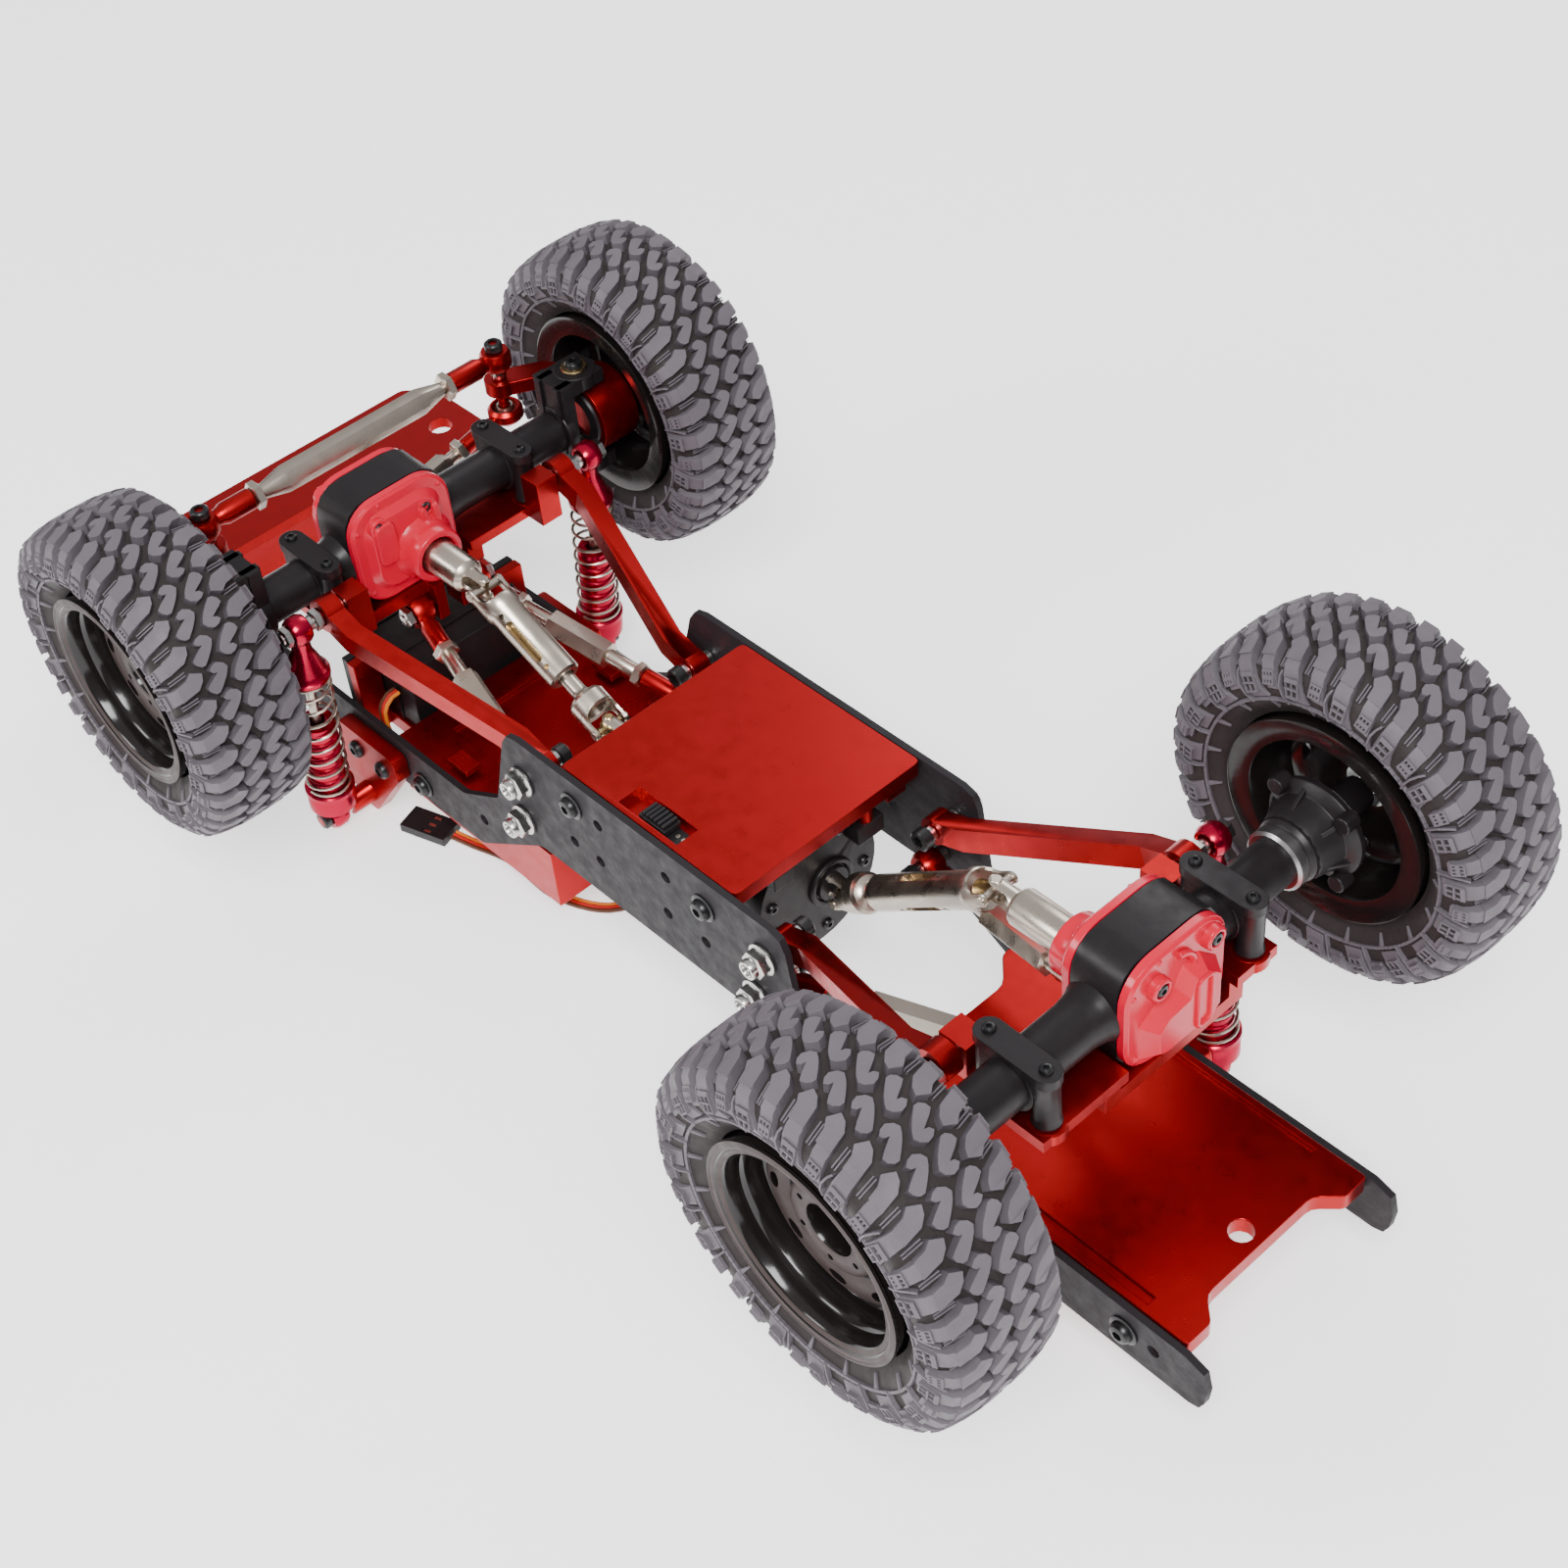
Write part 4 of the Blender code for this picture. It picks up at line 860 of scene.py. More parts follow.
def dress_gearbox():
    """Screws in the round flange, the bearing's ring, two lugs, a red post, and the motor's end bells."""
    for index in range(FLANGE_SCREWS):
        angle = radians(360 / FLANGE_SCREWS * index + 12)
        spot = Vector((FLANGE_X, SCREW_CIRCLE * cos(angle), FLANGE_Z + SCREW_CIRCLE * sin(angle)))
        button_screw("chassis", spot, -X, size=1.5, washer=False)
    ring = Shape()
    ring.turned([(5.0, 0), (5.0, 0.8), (5.4, 1.1), (6.3, 1.1), (6.6, 0.7), (6.6, 0)],
                joint_place("rear_shaft_tilt") + X * 6, -X, 36, closed=True)
    ring.block((FLANGE_X - 5, -17, 53), (FLANGE_X + 2, -9, 58))
    ring.block((FLANGE_X - 3, 9, 55), (FLANGE_X + 2, 15, 59))
    ring.piece("gearbox_flange_trim", "chassis", "axle_black", SATIN, bevel=0.3)
    post = Shape()
    post.rod((FLANGE_X - 3, -13, 57), (FLANGE_X - 3, -13, 62.5), 1.9, 20, edge=0.3)
    post.piece("gearbox_post", "chassis", "red_anodised", RED)
    motor = box("drive_motor")
    centre = (motor[0] + motor[1]) / 2
    bell = Shape()
    for start, out in ((motor[0].x, -X), (motor[1].x, X)):
        bell.turned([(0, 1.9), (2.6, 1.9), (3.1, 1.4), (3.1, 0.6), (9.6, 0.5), (10.4, -0.4), (0, -0.4)],
                    (start, centre.y, centre.z), out, 32)
    bell.piece("motor_bells", "chassis", "motor_can", STEEL)


# ---------------------------------------------------------------- servo
SERVO_BACK_X, SERVO_EAR_X, SERVO_FRONT_X = 77, 94, 104


def dress_servo():
    """The servo's lid seams, its ear and lid screws, the splined output, and the horn's screw."""
    trim = Shape()
    for x in (84.5, 98.5):
        trim.block((x, -20.35, 22.65), (x + 0.5, 20.35, 43.35))
    shaft = joint_place("servo_turn")
    boss = [(0, 0), (6.4, 0), (6.4, 1.4), (5.6, 1.9), (0, 1.9)]
    trim.turned(boss, (SERVO_FRONT_X, shaft.y, shaft.z), X, 28)
    trim.piece("servo_trim", "chassis", "black_plastic", PLASTIC)
    for y in (-24, 24):
        for z in (28, 38):
            button_screw("chassis", (SERVO_EAR_X, y, z), -X, size=2.2, washer=False)
    button_screw("servo_horn", (box("servo_horn")[0].x + 2, shaft.y, shaft.z), X, size=2.2, washer=False)
    for y in (-17.5, 17.5):
        for z in (25, 41):
            button_screw("chassis", (SERVO_BACK_X, y, z), -X, size=1.2, washer=False)


# ---------------------------------------------------------------- axles
def stadium(half_length, radius, steps=10):
    """A round-ended bar's outline along local X."""
    return arc(half_length, 0, radius, -90, 90, steps) + arc(-half_length, 0, radius, 90, 270, steps)


CLAMP_Y = 30.3  # the middle of a tube clamp
CLAMP_REACH = 7.5  # from the tube to a clamp's screw
CASE_HALF = 15  # half the differential case's width
TUBE_END = {"front": 46.4, "rear": 46.6}
HUB_RIBS, HUB_LUGS = 6, 4


def rear_hub(black, bright, x, z, sign):
    """A bright collar, then a ribbed bell with lugs round its rim."""
    bright.turned([(5.2, 0), (6.6, 0), (7.3, 0.6), (7.3, 2.9), (6.9, 3.3), (5.2, 3.3)],
                  (x, sign * 46.2, z), Y * sign, 40, closed=True)
    black.turned([
        (0, 0), (6.6, 0), (7.4, 0.6), (8.2, 3.0), (8.9, 6.4), (9.6, 8.6), (11.4, 9.6), (12.2, 10.4),
        (12.2, 11.6), (11.6, 12.2), (0, 12.2),
    ], (x, sign * 49.4, z), Y * sign, 48)
    for index in range(HUB_RIBS):
        turn = radians(360 / HUB_RIBS * index + 15)
        out = Vector((cos(turn), 0, sin(turn)))
        rib_place = placed(Vector((x, sign * 53, z)) + out * 8, out, out.cross(Y * sign))
        black.prism([(0, 0), (3.9, 7.6), (0, 7.6)], -0.55, 0.55, rib_place)
    for index in range(HUB_LUGS):
        turn = radians(360 / HUB_LUGS * (index + 0.5))
        spot = Vector((x + 12.2 * cos(turn), sign * 58, z + 12.2 * sin(turn)))
        black.rod(spot - Y * sign * 1.6, spot + Y * sign * 2.6, 2.1, 14, edge=0.3)


def dress_axles():
    """Clamp caps with screws, pads under the posts, tube collars and the rear hubs' bells."""
    for end in ENDS:
        x, z = WHEEL[end].x, WHEEL[end].z
        body = end + "_axle"
        black, pads, bright = Shape(), Shape(), Shape()
        for sign in SIDES.values():
            y = sign * CLAMP_Y
            cap_place = Matrix.Translation((x, y, z))
            black.prism(stadium(CLAMP_REACH, 3.3), 4.6, 7.3, cap_place)
            black.turned([(5.3, -3.2), (6.8, -3.2), (6.8, 3.2), (5.3, 3.2)], (x, y, z), Y, 28, closed=True)
            for reach in (-CLAMP_REACH, CLAMP_REACH):
                black.turned([(3.1, -7.75), (3.3, -7.3), (2.9, -6.0), (2.9, 4), (3.2, 4.8)],
                             (x + reach, y, z), Z, 20)
                button_screw(body, (x + reach, y, z + 7.3), Z, size=1.5, washer=False)
                pads.turned([(0, -11.4), (3.8, -11.4), (4.3, -10.9), (4.3, -8.3), (3.9, -7.8), (0, -7.8)],
                            (x + reach, y, z), Z, 24)
            neck = CASE_Y[end] + sign * CASE_HALF
            tube_end = TUBE_END[end] - sign * CASE_Y[end] - CASE_HALF
            black.turned([(7.4, -1.5), (7.2, 0), (6.5, 1.4), (6.1, 3.2), (5.8, 5.5), (5.7, tube_end),
                          (5.1, tube_end)], (x, neck, z), Y * sign, 40)
            if end == "rear":
                rear_hub(black, bright, x, z, sign)
        black.piece(end + "_axle_clamps", body, "axle_black", SATIN, bevel=0.2)
        pads.piece(end + "_clamp_pads", body, "red_anodised", RED)
        if end == "rear":
            bright.piece("rear_tube_collars", body, "axle_black", STEEL)


def loop_outline(u, v, half_width, half_height, radius, steps=6):
    """A rectangle with round corners about (u, v)."""
    points = []
    for cx, cy, start in ((1, -1, -90), (1, 1, 0), (-1, 1, 90), (-1, -1, 180)):
        x, y = u + cx * (half_width - radius), v + cy * (half_height - radius)
        points += arc(x, y, radius, start, start + 90, steps)
    return points


def outline_of_case(shrink):
    """The cover's rounded outline, a given distance in from the case's edge."""
    return loop_outline(0, 0, CASE_HALF - shrink, CASE_HALF - shrink, max(2, 9 - shrink * 0.8), 8)


def raised_ring(shape, outer, inner, low, high, place):
    """A closed wall between two outlines, with its upper edges broken."""
    soften = 0.35

    def row(outline, height, towards=None, share=0.0):
        towards = towards or outline
        return [place @ Vector((ax + (bx - ax) * share, ay + (by - ay) * share, height))
                for (ax, ay), (bx, by) in zip(outline, towards)]

    shape.rings([row(outer, low), row(outer, high - soften), row(outer, high, inner, 0.25),
                 row(inner, high, outer, 0.25), row(inner, high - soften), row(inner, low)], closed=True)


def bumps(shape, place, height):
    """Small cast dots round the flange."""
    for u, v in outline_of_case(1.5)[::6]:
        shape.turned([(0.75, -0.2), (0.7, 0.15), (0.4, 0.42), (0, 0.48)], place @ Vector((u, v, height)),
                     place.to_3x3() @ Z, 10)


def make_covers():
    """Painted differential covers with cast ribs; the ones facing the gearbox carry the pinion's nose."""
    for end in ENDS:
        for kind, facing in (("pinion", -ENDS[end]), ("back", ENDS[end])):
            node = "%s_%s_cover" % (end, kind)
            low, high = box(node)
            face = low.x if facing > 0 else high.x
            place = placed((face, CASE_Y[end], CASE_Z[end]), Y * facing, X * facing)
            cover = Shape()
            cover.prism(outline_of_case(0), 0, 1.9, place)
            cover.prism(outline_of_case(0.1), 1.8, 2.5, place, shrink=outline_of_case(0.8))
            bumps(cover, place, 2.5)
            if kind == "pinion":
                nose_cover(cover, place, facing, end)
                screws = [(-6.4 * facing, 7.0), (7.4 * facing, 8.2), (-4.5 * facing, -11.6)]
            else:
                back_cover(cover, place)
                screws = [(-6.5, 7.4), (9.6, 9.4)]
            for u, v in screws:
                out = place.to_3x3() @ Z
                cover.turned([(1.7, 2.0), (3.0, 2.0), (2.8, 4.2), (2.3, 4.6), (1.8, 4.5)],
                             place @ Vector((u, v, 0)), out, 24, closed=True)
                button_screw(end + "_axle", place @ Vector((u, v, 3.7)), out, size=1.65, washer=False)
            cover.piece(node + "_cast", end + "_axle", "cover_pink", PINK, bevel=0.45, replaces=[node])


def nose_cover(cover, place, facing, end):
    """Ribs and the bored nose of a cover that the driveshaft enters."""
    cover.prism(outline_of_case(3.0), 2.3, 4.4, place, shrink=outline_of_case(5.0))
    nose_u = (SHAFT_Y[end] - CASE_Y[end]) * facing
    nose_v = SHAFT_TIP[end][1] - CASE_Z[end]
    # Two upright ribs beside the nose, each a long loop
    for shift, tall in ((-8.6, 9.0), (-4.9, 9.6)):
        u = shift * facing
        cover.prism(loop_outline(u, -1.5, 1.3, tall, 1.2), 3.5, 5.6, place,
                    shrink=loop_outline(u, -1.5, 0.8, tall - 0.6, 0.75))
    cover.prism(loop_outline(6.6 * facing, 3.2, 3.6, 6.6, 2.4), 3.5, 5.2, place,
                shrink=loop_outline(6.6 * facing, 3.2, 2.8, 5.8, 2.0))
    cover.turned([
        (5.0, 3.2), (9.2, 3.6), (8.2, 5.0), (7.5, 6.4), (7.3, 7.6), (7.3, 10.1), (6.8, 10.9), (5.6, 11.0),
        (5.2, 10.6), (5.0, 6.0),
    ], place @ Vector((nose_u, nose_v, 0)), place.to_3x3() @ Z, 40, closed=True)


def back_cover(cover, place):
    """The faceted bulge of an outer cover, with an upright rib and a curved one by its screw."""
    foot = [(-11.6, -11.4), (-8.0, -12.6), (8.6, -12.6), (12.0, -9.4), (12.0, 2.0), (6.4, 7.8), (1.2, 7.8),
            (-1.4, 3.0), (-7.0, 2.2), (-11.8, -1.0)]
    top = [(-8.6, -8.6), (-6.6, -9.8), (7.4, -9.8), (9.4, -8.0), (9.4, 0.8), (5.2, 5.0), (2.2, 5.0),
           (0.2, 0.4), (-6.2, -0.2), (-8.8, -2.6)]
    cover.prism(foot, 2.0, 6.0, place, shrink=top)
    raised_ring(cover, loop_outline(4.2, -2.6, 2.5, 7.4, 1.4), loop_outline(4.2, -2.6, 1.5, 6.4, 0.8),
                5.0, 6.8, place)
    curve = [place @ Vector((-1.2 + 5.2 * cos(a), 6.6 + 5.2 * sin(a), 3.0))
             for a in [radians(-70 + 14 * step) for step in range(12)]]
    cover.tube(curve, 0.9, 10)


# ---------------------------------------------------------------- steering
KINGPIN_Y, KINGPIN_REACH = 56, 15.2


def dress_knuckles():
    """C-hub ribs and round ears, kingpin screws on brass washers, and the knuckles' lips."""
    x, z = WHEEL["front"].x, WHEEL["front"].z
    for side, sign in SIDES.items():
        kingpin_y = KINGPIN_Y * sign
        hub = Shape()
        for low, high in ((11.0, KINGPIN_REACH), (-KINGPIN_REACH, -11.0)):
            hub.turned([(0, low), (5.6, low), (5.9, low + 0.3), (5.9, high - 0.5), (5.4, high), (0, high)],
                       (x, kingpin_y, z), Z, 28)
        for reach in (-3.6, 3.6):
            ys = sorted((sign * 46.2, sign * 51.5))
            hub.block((x + reach - 1.1, ys[0], z - 14), (x + reach + 1.1, ys[1], z + 15.0))
        hub.turned([(0, 0), (7.2, 0), (7.6, 0.6), (7.6, 3.0), (0, 3.0)], (x, sign * 46.6, z), Y * sign, 28)
        hub.piece("c_hub_ribs_" + side, "front_axle", "axle_black", SATIN, bevel=0.35)
        for out in (Z, -Z):
            spot = Vector((x, kingpin_y, z)) + out * KINGPIN_REACH
            fasteners("front_axle", "washers").turned(
                [(1.2, 0), (3.3, 0), (3.5, 0.3), (3.3, 0.7), (1.2, 0.7)], spot, out, 24, closed=True)
            button_screw("front_axle", spot + out * 0.7, out, size=2.4, washer=False)
        axle_stub = Shape()
        axle_stub.turned([(5.4, 0), (8.0, 0.4), (8.4, 1.0), (8.4, 1.6), (5.4, 1.8)],
                         (x, sign * 54.4, z), Y * sign, 32, closed=True)
        axle_stub.piece("knuckle_lip_" + side, "knuckle_" + side, "axle_black", SATIN)


def rod_end(shape, centre, along, eye_axis, bore, radius, half_width, length, neck=2.9):
    """A red rod end: its eye, a waist, and a round shank as long as stated."""
    eye_ring(shape, centre, eye_axis, bore, radius, half_width)
    shape.turned([
        (neck * 0.72, radius - 0.5), (neck * 0.8, radius + 0.8), (neck, radius + 2.2), (neck, length - 0.4),
        (neck * 0.88, length),
    ], centre, along, 20)


def jam_nut(shape, centre, along, across=3.3, tall=2.4):
    shape.turned([
        (across * 0.9, 0), (across, tall * 0.12, 6), (across, tall * 0.88, 6), (across * 0.9, tall),
    ], centre, along, 24)


def turnbuckle(shape, start, end, round_radius, hex_radius, cone, plain=0.0):
    """A bright bar: threaded ends, cones up to a hexagon, and a plain round stretch before each cone."""
    span = end - start
    length = span.length
    shape.turned([
        (round_radius * 0.9, 0), (round_radius, 0.4), (round_radius, plain + 0.5),
        (hex_radius, plain + cone, 6), (hex_radius, length - plain - cone, 6),
        (round_radius, length - plain - 0.5), (round_radius, length - 0.4), (round_radius * 0.9, length),
    ], start, span, 24)


def make_tie_rod():
    left = joint_place("tie_rod_pivot")
    right = Vector((left.x, -left.y, left.z))
    rod = Shape()
    for eye_centre, along, bore, radius in ((left, Y, 1.75, 4.2), (right, -Y, 2.65, 4.6)):
        rod.paint = 0
        centre = eye_centre if bore < 2 else eye_centre + Y * 0.7
        rod_end(rod, centre, along, Z, bore, radius, 2.6, 15)
        rod.paint = 1
        jam_nut(rod, centre + along * 15.2, along)
        rod.rod(centre + along * 12, centre + along * 20, 1.5, 14)
    turnbuckle(rod, left + Y * 17.6, right - Y * 16.9, 1.9, 3.1, 7.5)
    rod.piece("tie_rod_bar", "tie_rod", "nickel", RED, NICKEL, replaces=["tie_rod"])
    for side, sign in SIDES.items():
        body = "knuckle_" + side
        top = Vector((left.x, sign * abs(left.y), left.z + 2.9))
        cap_screw(body, top, Z, size=2.4, tall=2.2)
        spacer(body, (top.x, top.y, left.z - 5.6), (top.x, top.y, left.z - 3.0), 2.1)


def make_drag_link():
    ball = joint_place("drag_link_swing")
    horn = Vector((ball.x, joint_place("servo_turn").y, joint_place("servo_turn").z + 24))
    along = (horn - ball).normalized()
    length = (horn - ball).length
    link = Shape()
    eye_ring(link, ball, Z, 3.35, 4.8, 2.0)
    eye_ring(link, horn + Vector((0, 0.55, -0.55)), X, 3.35, 4.9, 1.4)
    link.turned([(1.5, 4.4), (2.1, 6), (2.4, 8), (2.4, 15), (2.1, 15.4)], ball, along, 20)
    link.turned([(1.5, 4.4), (2.0, 6), (2.0, 14), (1.8, 14.4)], horn, -along, 20)
    link.paint = 1
    jam_nut(link, ball + along * 15.6, along, 3.0)
    jam_nut(link, horn - along * 14.6, -along, 2.7, 2.0)
    turnbuckle(link, ball + along * 18, ball + along * (length - 16.6), 1.8, 3.1, 2.5, 2)
    link.piece("drag_link_bar", "drag_link", "nickel", RED, NICKEL, replaces=["drag_link"])
    ring = Shape()
    ring.turned([(1.75, -2.2), (2.2, -2.3), (2.6, -1.2), (2.8, 0), (2.6, 1.2), (2.2, 2.3), (1.75, 2.2)], ball,
                Z, 24, closed=True)
    ring.piece("drag_link_ball_polished", "drag_link_ball", "nickel", NICKEL, replaces=["drag_link_ball"])
    plain_nut("servo_horn", (115.9, horn.y, horn.z), X, across=2.3, tall=1.7, bolt=0.2)


# ---------------------------------------------------------------- links and shocks
def dress_lower_links():
    """The nuts and collars on each axle bolt, between the link's eye and the shock's."""
    for end in ENDS:
        bolt = AXLE_BOLT[end]
        for sign in SIDES.values():
            body = end + "_axle"
            spacer(body, at_y(bolt, sign * 33.0), at_y(bolt, sign * 33.9), 2.6)
            plain_nut(body, at_y(bolt, sign * 39.4), Y * sign, across=2.5, tall=2.2, bolt=0)
            spacer(body, at_y(bolt, sign * 41.6), at_y(bolt, sign * 43.2), 1.9)
            plain_nut(body, at_y(bolt, sign * 48.4), Y * sign, across=2.4, tall=1.9, bolt=0.5)


def make_upper_links():
    """Turnbuckles from the rails to the axle trusses, with a red rod end at both ends."""
    for end in ENDS:
        for side, sign in SIDES.items():
            name = "upper_link_%s_%s" % (end, side)
            near = joint_place(name + "_pivot")
            far = at_y(UPPER_AXLE_BOLT[end], sign * UPPER_AXLE_Y)
            along = (far - near).normalized()
            length = (far - near).length
            link = Shape()
            rod_end(link, near, along, Y, 1.75, 4.0, 2.6, 15, 2.6)
            rod_end(link, far, -along, Y, 2.65, 4.4, 2.6, 14, 2.6)
            link.paint = 1
            jam_nut(link, near + along * 15.2, along, 2.9)
            jam_nut(link, far - along * 14.2, -along, 2.9)
            turnbuckle(link, near + along * 17.6, near + along * (length - 16.6), 2.1, 3.2, 0.8, 8)
            link.piece(name + "_turnbuckle", name, "nickel", RED, NICKEL, replaces=[name])
            inner = at_y(UPPER_AXLE_BOLT[end], sign * 11.8)
            plain_nut(end + "_axle", inner, Y * sign, across=2.6, tall=2.0, bolt=0.6)


SPRING_TURNS = 9.5
SPRING_RADIUS = 5.45
SPRING_WIRE = 0.42  # the wire's radius
COIL_STEPS = 22  # points in one turn of a spring
FLAT_COILS = 0.06  # the share of a spring, at each end, that doesn't climb


def make_spring(tag, foot, along, low, high):
    """A thin coil between two heights over a shock's foot."""
    place = placed(foot, side_of(along), along)
    points = []
    count = int(SPRING_TURNS * COIL_STEPS)
    for step in range(count + 1):
        share = step / count
        climb = min(max((share - FLAT_COILS) / (1 - 2 * FLAT_COILS), 0), 1)
        angle = 2 * pi * SPRING_TURNS * share
        x, y = SPRING_RADIUS * cos(angle), SPRING_RADIUS * sin(angle)
        points.append(place @ Vector((x, y, low + (high - low) * climb)))
    coil = Shape()
    coil.tube(points, SPRING_WIRE)
    spring = coil.object("spring_" + tag, NICKEL)
    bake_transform(spring)


def make_shocks():
    """Each shock: a grooved body with a wide cap, a bright rod, a cone cup and a thin coil spring."""
    for end in ENDS:
        for side, sign in SIDES.items():
            tag = "%s_%s" % (end, side)
            foot = joint_place("shock_%s_tilt" % tag)
            head = at_y(AXLE_BOLT[end], foot.y)
            along = (head - foot).normalized()
            length = (head - foot).length
            body = Shape()
            profile = [(0, 3.0), (2.6, 3.0), (3.6, 3.8), (5.6, 4.6), (6.2, 5.2), (6.2, 9.4), (5.9, 9.9),
                       (5.9, 10.4), (6.5, 10.7), (6.5, 12.0), (6.1, 12.4), (4.9, 12.6)]
            height = 13.0
            while height < 34:
                profile += [(4.75, height), (4.75, height + 1.2), (4.25, height + 1.5), (4.25, height + 2.1)]
                height += 2.4
            profile += [(4.75, 35.0), (4.4, 36.0), (2.6, 36.4), (2.2, 36.2), (2.2, 30.0), (0, 30.0)]
            body.turned(profile, foot, along, 32)
            eye_ring(body, foot, Y, 1.75, 3.9, 2.4)
            body.piece("shock_body_%s_turned" % tag, "shock_body_" + tag, "shock_magenta", MAGENTA,
                       replaces=["shock_body_" + tag])
            shaft = Shape()
            shaft.paint = 1
            shaft.rod(foot + along * 25.2, foot + along * (length - 8), 1.3, 16)
            shaft.paint = 0
            cup = [(1.4, 15.6), (5.2, 15.6), (6.0, 15.2), (6.0, 14.2), (5.5, 13.8), (4.9, 12.6), (3.3, 8.4),
                   (2.6, 6.8), (2.4, 5.0), (2.6, 3.2), (1.4, 3.2)]  # heights below the upper eye
            shaft.turned([(radius, length - drop) for radius, drop in cup], foot, along, 32, closed=True)
            eye_ring(shaft, head, Y, 2.45, 3.9, 2.4)
            shaft.piece("shock_shaft_%s_turned" % tag, "shock_shaft_" + tag, "shock_magenta", MAGENTA, NICKEL,
                        replaces=["shock_shaft_" + tag])
            make_spring(tag, foot, along, 12.9, length - 16.1)
            bolt = (foot.x, foot.z)
            cap_screw("chassis", at_y(bolt, sign * 48.4), Y * sign, size=2.5, tall=2.0)
            spacer("chassis", at_y(bolt, sign * 41.2), at_y(bolt, sign * 43.1), 2.2)


# ---------------------------------------------------------------- driveshafts
# A shaft's fork turns around the smaller fork that stays with the frame or with the axle.
TURNING_FORK = {"radius": 4.9, "wall": 0.7, "tip": 1.6, "pin_from": 3.7}
STILL_FORK = {"radius": 2.9, "wall": 0.8, "tip": 1.7, "pin_from": 2.1}
CROSS_RADIUS = 1.15
SLOT_TURNS = (80, 200, 320)  # where the sleeve's slots stand, in degrees round it


def yoke(shape, centre, along, across, reach, radius, wall, tip, pin_from):
    """A joint's fork: a tube whose wall runs on as two round-ended ears, with a pin's head in each."""
    quarter = radius * pi / 2
    bend = min(quarter - tip, 0.55 * reach)
    stations = [-tip * cos(radians(a)) for a in (12, 30, 50, 70, 90)]
    stations += [reach - bend + bend * sin(radians(a)) for a in (0, 20, 40, 60, 80)]
    for facing in (across, -across):
        sideways = facing.cross(along).normalized()
        rows = []
        for station in stations:
            if station <= 0:
                half = sqrt(max(tip ** 2 - station ** 2, 0))
            else:
                rise = min(max((station - reach + bend) / bend, 0), 1)
                half = quarter - (quarter - tip) * sqrt(1 - rise ** 2)
            turns = [half / radius * (step / 4 - 1) for step in range(9)]
            middle_of_row = centre + along * station
            outer = [facing * cos(a) + sideways * sin(a) for a in turns]
            rows.append([middle_of_row + out * radius for out in outer]
                        + [middle_of_row + out * (radius - wall) for out in outer[::-1]])
        shape.rings(rows)
        shape.rod(centre + facing * pin_from, centre + facing * (radius + 0.3), 1.25, 18, edge=0.15)


def make_sleeve(end, start, stop):
    """The tube that slides on a shaft's rod, cut by slots and small holes, with a brass core and its fork."""
    along = (stop - start).normalized()
    upright = Y.cross(along).normalized()
    total = (stop - start).length
    mouth = total - SLEEVE_LENGTH[end]
    slots_at = (mouth + total - 6) / 2
    sleeve = Shape()
    sleeve.turned([
        (2.4, mouth), (3.8, mouth), (4.3, mouth + 0.5), (4.3, total - 8.6), (4.9, total - 7.6),
        (4.9, total - 5.4), (4.6, total - 5.0), (2.4, total - 5.6), (2.4, total - 12),
    ], start, along, 36, closed=True)
    blank = sleeve.object("sleeve_blank", NICKEL)
    cuts = Shape()
    for turn in SLOT_TURNS:
        across = (Y * cos(radians(turn)) + upright * sin(radians(turn))).normalized()
        place = placed(start, along, across)
        cuts.prism([(x + slots_at, y) for x, y in stadium(5.4, 1.15)], 1, 7, place)
        for reach in (-8.6, 8.6):
            spot = start + along * (slots_at + reach)
            cuts.rod(spot + across * 2, spot + across * 7, 0.75, 12)
    with_cuts(blank, cuts)
    cut_sleeve = Shape().from_object(blank)
    bpy.data.objects.remove(blank)
    yoke(cut_sleeve, stop, -along, Y, 5.6, **TURNING_FORK)
    cut_sleeve.piece(end + "_shaft_sleeve_slotted", end + "_shaft_sleeve", "nickel", NICKEL,
                     replaces=[end + "_shaft_sleeve"])
    inside = Shape()
    inside.turned([(0, total - 12), (2.6, total - 12), (2.6, mouth + 2), (0, mouth + 2)], start, along, 24)
    inside.piece(end + "_sleeve_core", end + "_shaft_sleeve", "nickel", BRASS)


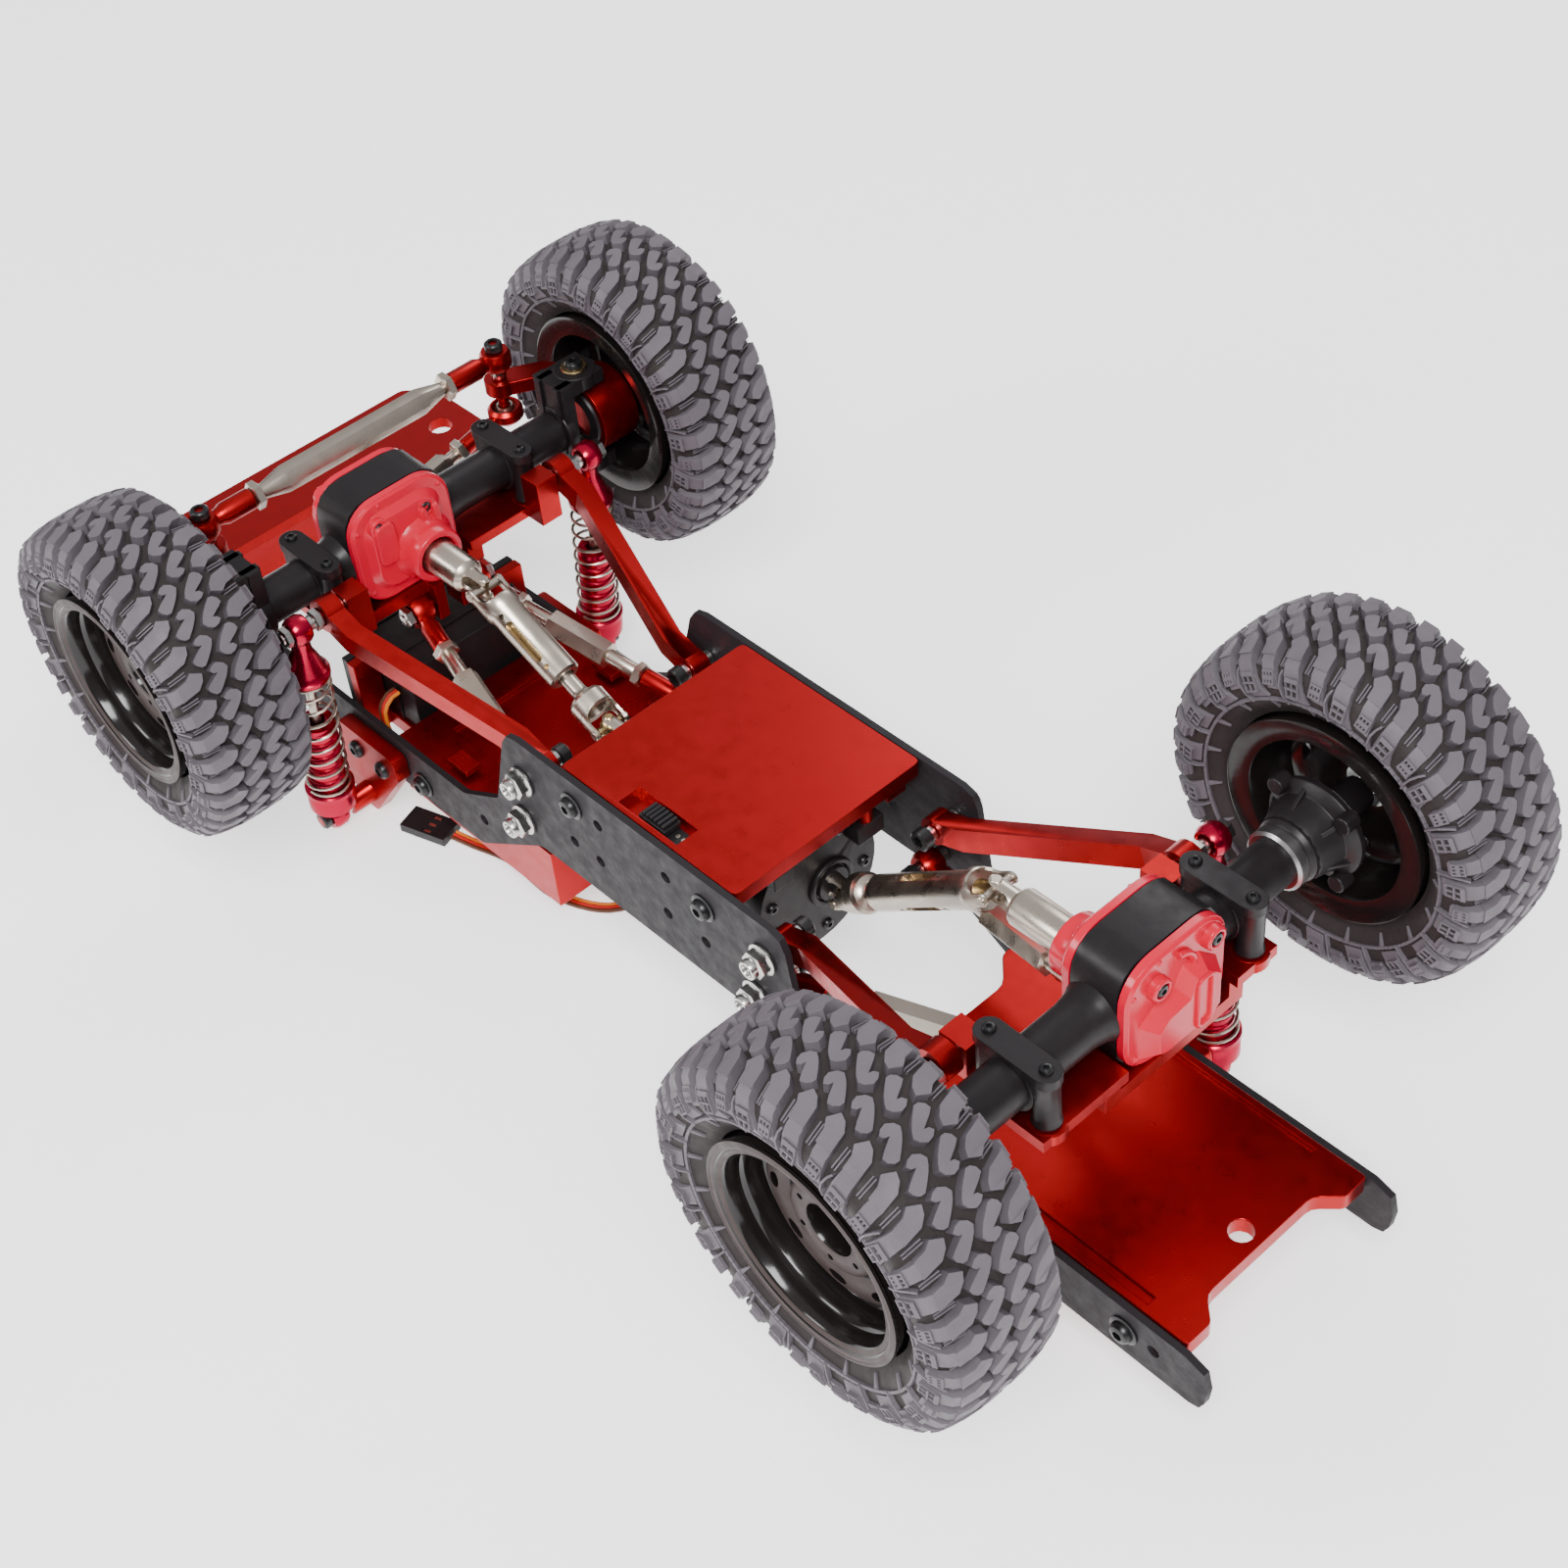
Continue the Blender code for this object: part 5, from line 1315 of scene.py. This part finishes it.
def make_driveshafts():
    """At each end: the gearbox's fork, a cross, the forked rod, the forked sleeve and the pinion's fork."""
    for end, facing in ENDS.items():
        start = joint_place(end + "_shaft_tilt")
        stop = at_y(SHAFT_TIP[end], start.y)
        along = (stop - start).normalized()
        length = (stop - start).length
        drive_end = Shape()
        drive_end.turned([
            (0, 0), (4.3, 0), (4.6, 0.3), (4.6, 5.2), (4.2, 6.0), (2.9, 6.9), (2.1, 6.7), (2.1, 5), (0, 5),
        ], (start.x - facing * 12, start.y, start.z), X * facing, 32)
        yoke(drive_end, start, -X * facing, Z, 5.6, **STILL_FORK)
        drive_end.piece(end + "_output_fork", "chassis", "nickel", NICKEL, bevel=0.15)
        cross = Shape()
        for axis in (Y, Z):
            cross.rod(start - axis * 3.4, start + axis * 3.4, CROSS_RADIUS, 16, edge=0.2)
        cross.turned([(0, -2.2), (1.6, -2.0), (2.2, -1.1), (2.3, 0), (2.2, 1.1), (1.6, 2.0), (0, 2.2)], start,
                     along, 20)
        cross.piece(end + "_cross", end + "_shaft_spider", "nickel", BRASS, replaces=[end + "_shaft_spider"])
        rod = Shape()
        rod.turned([
            (0, 7.4), (2.8, 7.4), (3.0, 5.2), (4.6, 5.0), (4.9, 5.4), (4.9, 8.8), (4.6, 9.2), (4.2, 9.8),
            (3.0, 10.2), (2.2, 11), (2.0, 12), (2.0, length - 14.2), (0, length - 14),
        ], start, along, 32)
        yoke(rod, start, along, Y, 5.4, **TURNING_FORK)
        rod.piece(end + "_shaft_rod_turned", end + "_shaft_rod", "nickel", NICKEL, bevel=0.12,
                  replaces=[end + "_shaft_rod"])
        make_sleeve(end, start, stop)
        pinion = Shape()
        pinion.turned([
            (0, 0), (4.2, 0), (4.5, 0.3), (4.5, 15.6), (4.2, 16.2), (2.9, 17.2), (2.1, 17), (2.1, 15),
            (0, 15),
        ], (stop.x + facing * 23, stop.y, stop.z), -X * facing, 32)
        yoke(pinion, stop, X * facing, Z, 6.2, **STILL_FORK)
        for reach in (Z * 2.9, Y * 3.6):
            pinion.rod(stop - reach, stop + reach, CROSS_RADIUS, 14)
        pinion.piece(end + "_pinion_fork", end + "_axle", "nickel", NICKEL, bevel=0.15)


# ---------------------------------------------------------------- frame parts kept from the CAD
FINISHES = {
    "rail_powder_coat": POWDER, "red_anodised": RED, "axle_black": SATIN, "black_plastic": PLASTIC,
    "motor_can": STEEL,
}
SLOTS = {entry["node"]: entry["material_slot"] for entry in frame["record"]["subparts"]}
DETAILED = ("switch_slider", "servo_plug", "servo_lead")  # made anew elsewhere in this script


def soften_frame_parts():
    for node in NODES:
        if SLOTS[node] in FINISHES and node not in DETAILED:
            softened(node, FINISHES[SLOTS[node]], SLOTS[node])


soften_frame_parts()
make_covers()
make_shocks()
make_driveshafts()
make_upper_links()
make_tie_rod()
make_drag_link()
dress_lower_links()
dress_axles()
dress_knuckles()
dress_rails()
dress_plates()
dress_gearbox()
dress_servo()
pose_fasteners()


# ---------------------------------------------------------------- stage
def make_world():
    """Soft light from above that fades towards the horizon, so that metal has something dark to mirror."""
    world = bpy.data.worlds.new("studio")
    world.use_nodes = True
    nodes, links = world.node_tree.nodes, world.node_tree.links
    sky = nodes["Background"]
    sky.inputs["Color"].default_value = (0.97, 0.97, 1.0, 1)
    parts = nodes.new("ShaderNodeSeparateXYZ")
    links.new(nodes.new("ShaderNodeTexCoord").outputs["Generated"], parts.inputs["Vector"])
    fade = nodes.new("ShaderNodeMapRange")
    fade.inputs["From Min"].default_value = 0.0
    fade.inputs["From Max"].default_value = 0.8
    fade.inputs["To Min"].default_value = 0.2
    fade.inputs["To Max"].default_value = 0.8
    links.new(parts.outputs["Z"], fade.inputs["Value"])
    links.new(fade.outputs["Result"], sky.inputs["Strength"])
    bpy.context.scene.world = world


def make_stage():
    """A white floor that glows a little, as a lit product table does, and three soft lamps."""
    paper = material("white_table", (0.9, 0.9, 0.9), 0.0, 0.7, grain=2, bump=0.02, shade=0.01)
    shader = paper.node_tree.nodes["Principled BSDF"]
    shader.inputs["Emission Color"].default_value = (1, 1, 1, 1)
    shader.inputs["Emission Strength"].default_value = 1.0
    Shape().block((-3000, -3000, -20), (3000, 3000, -0.2)).object("floor", paper)
    for name, place, size, power in (("key", (-0.7, 0.6, 1.2), 0.6, 30), ("fill", (0.6, 1.1, 0.8), 0.5, 10),
                                     ("back", (0.5, -1.1, 1.0), 0.7, 7)):
        data = bpy.data.lights.new(name, "AREA")
        data.size = size
        data.energy = power
        lamp = linked(name, data)
        lamp.matrix_world = placed(place, X, Vector(place) - Vector((0, 0, 0.03)))


make_world()
make_stage()
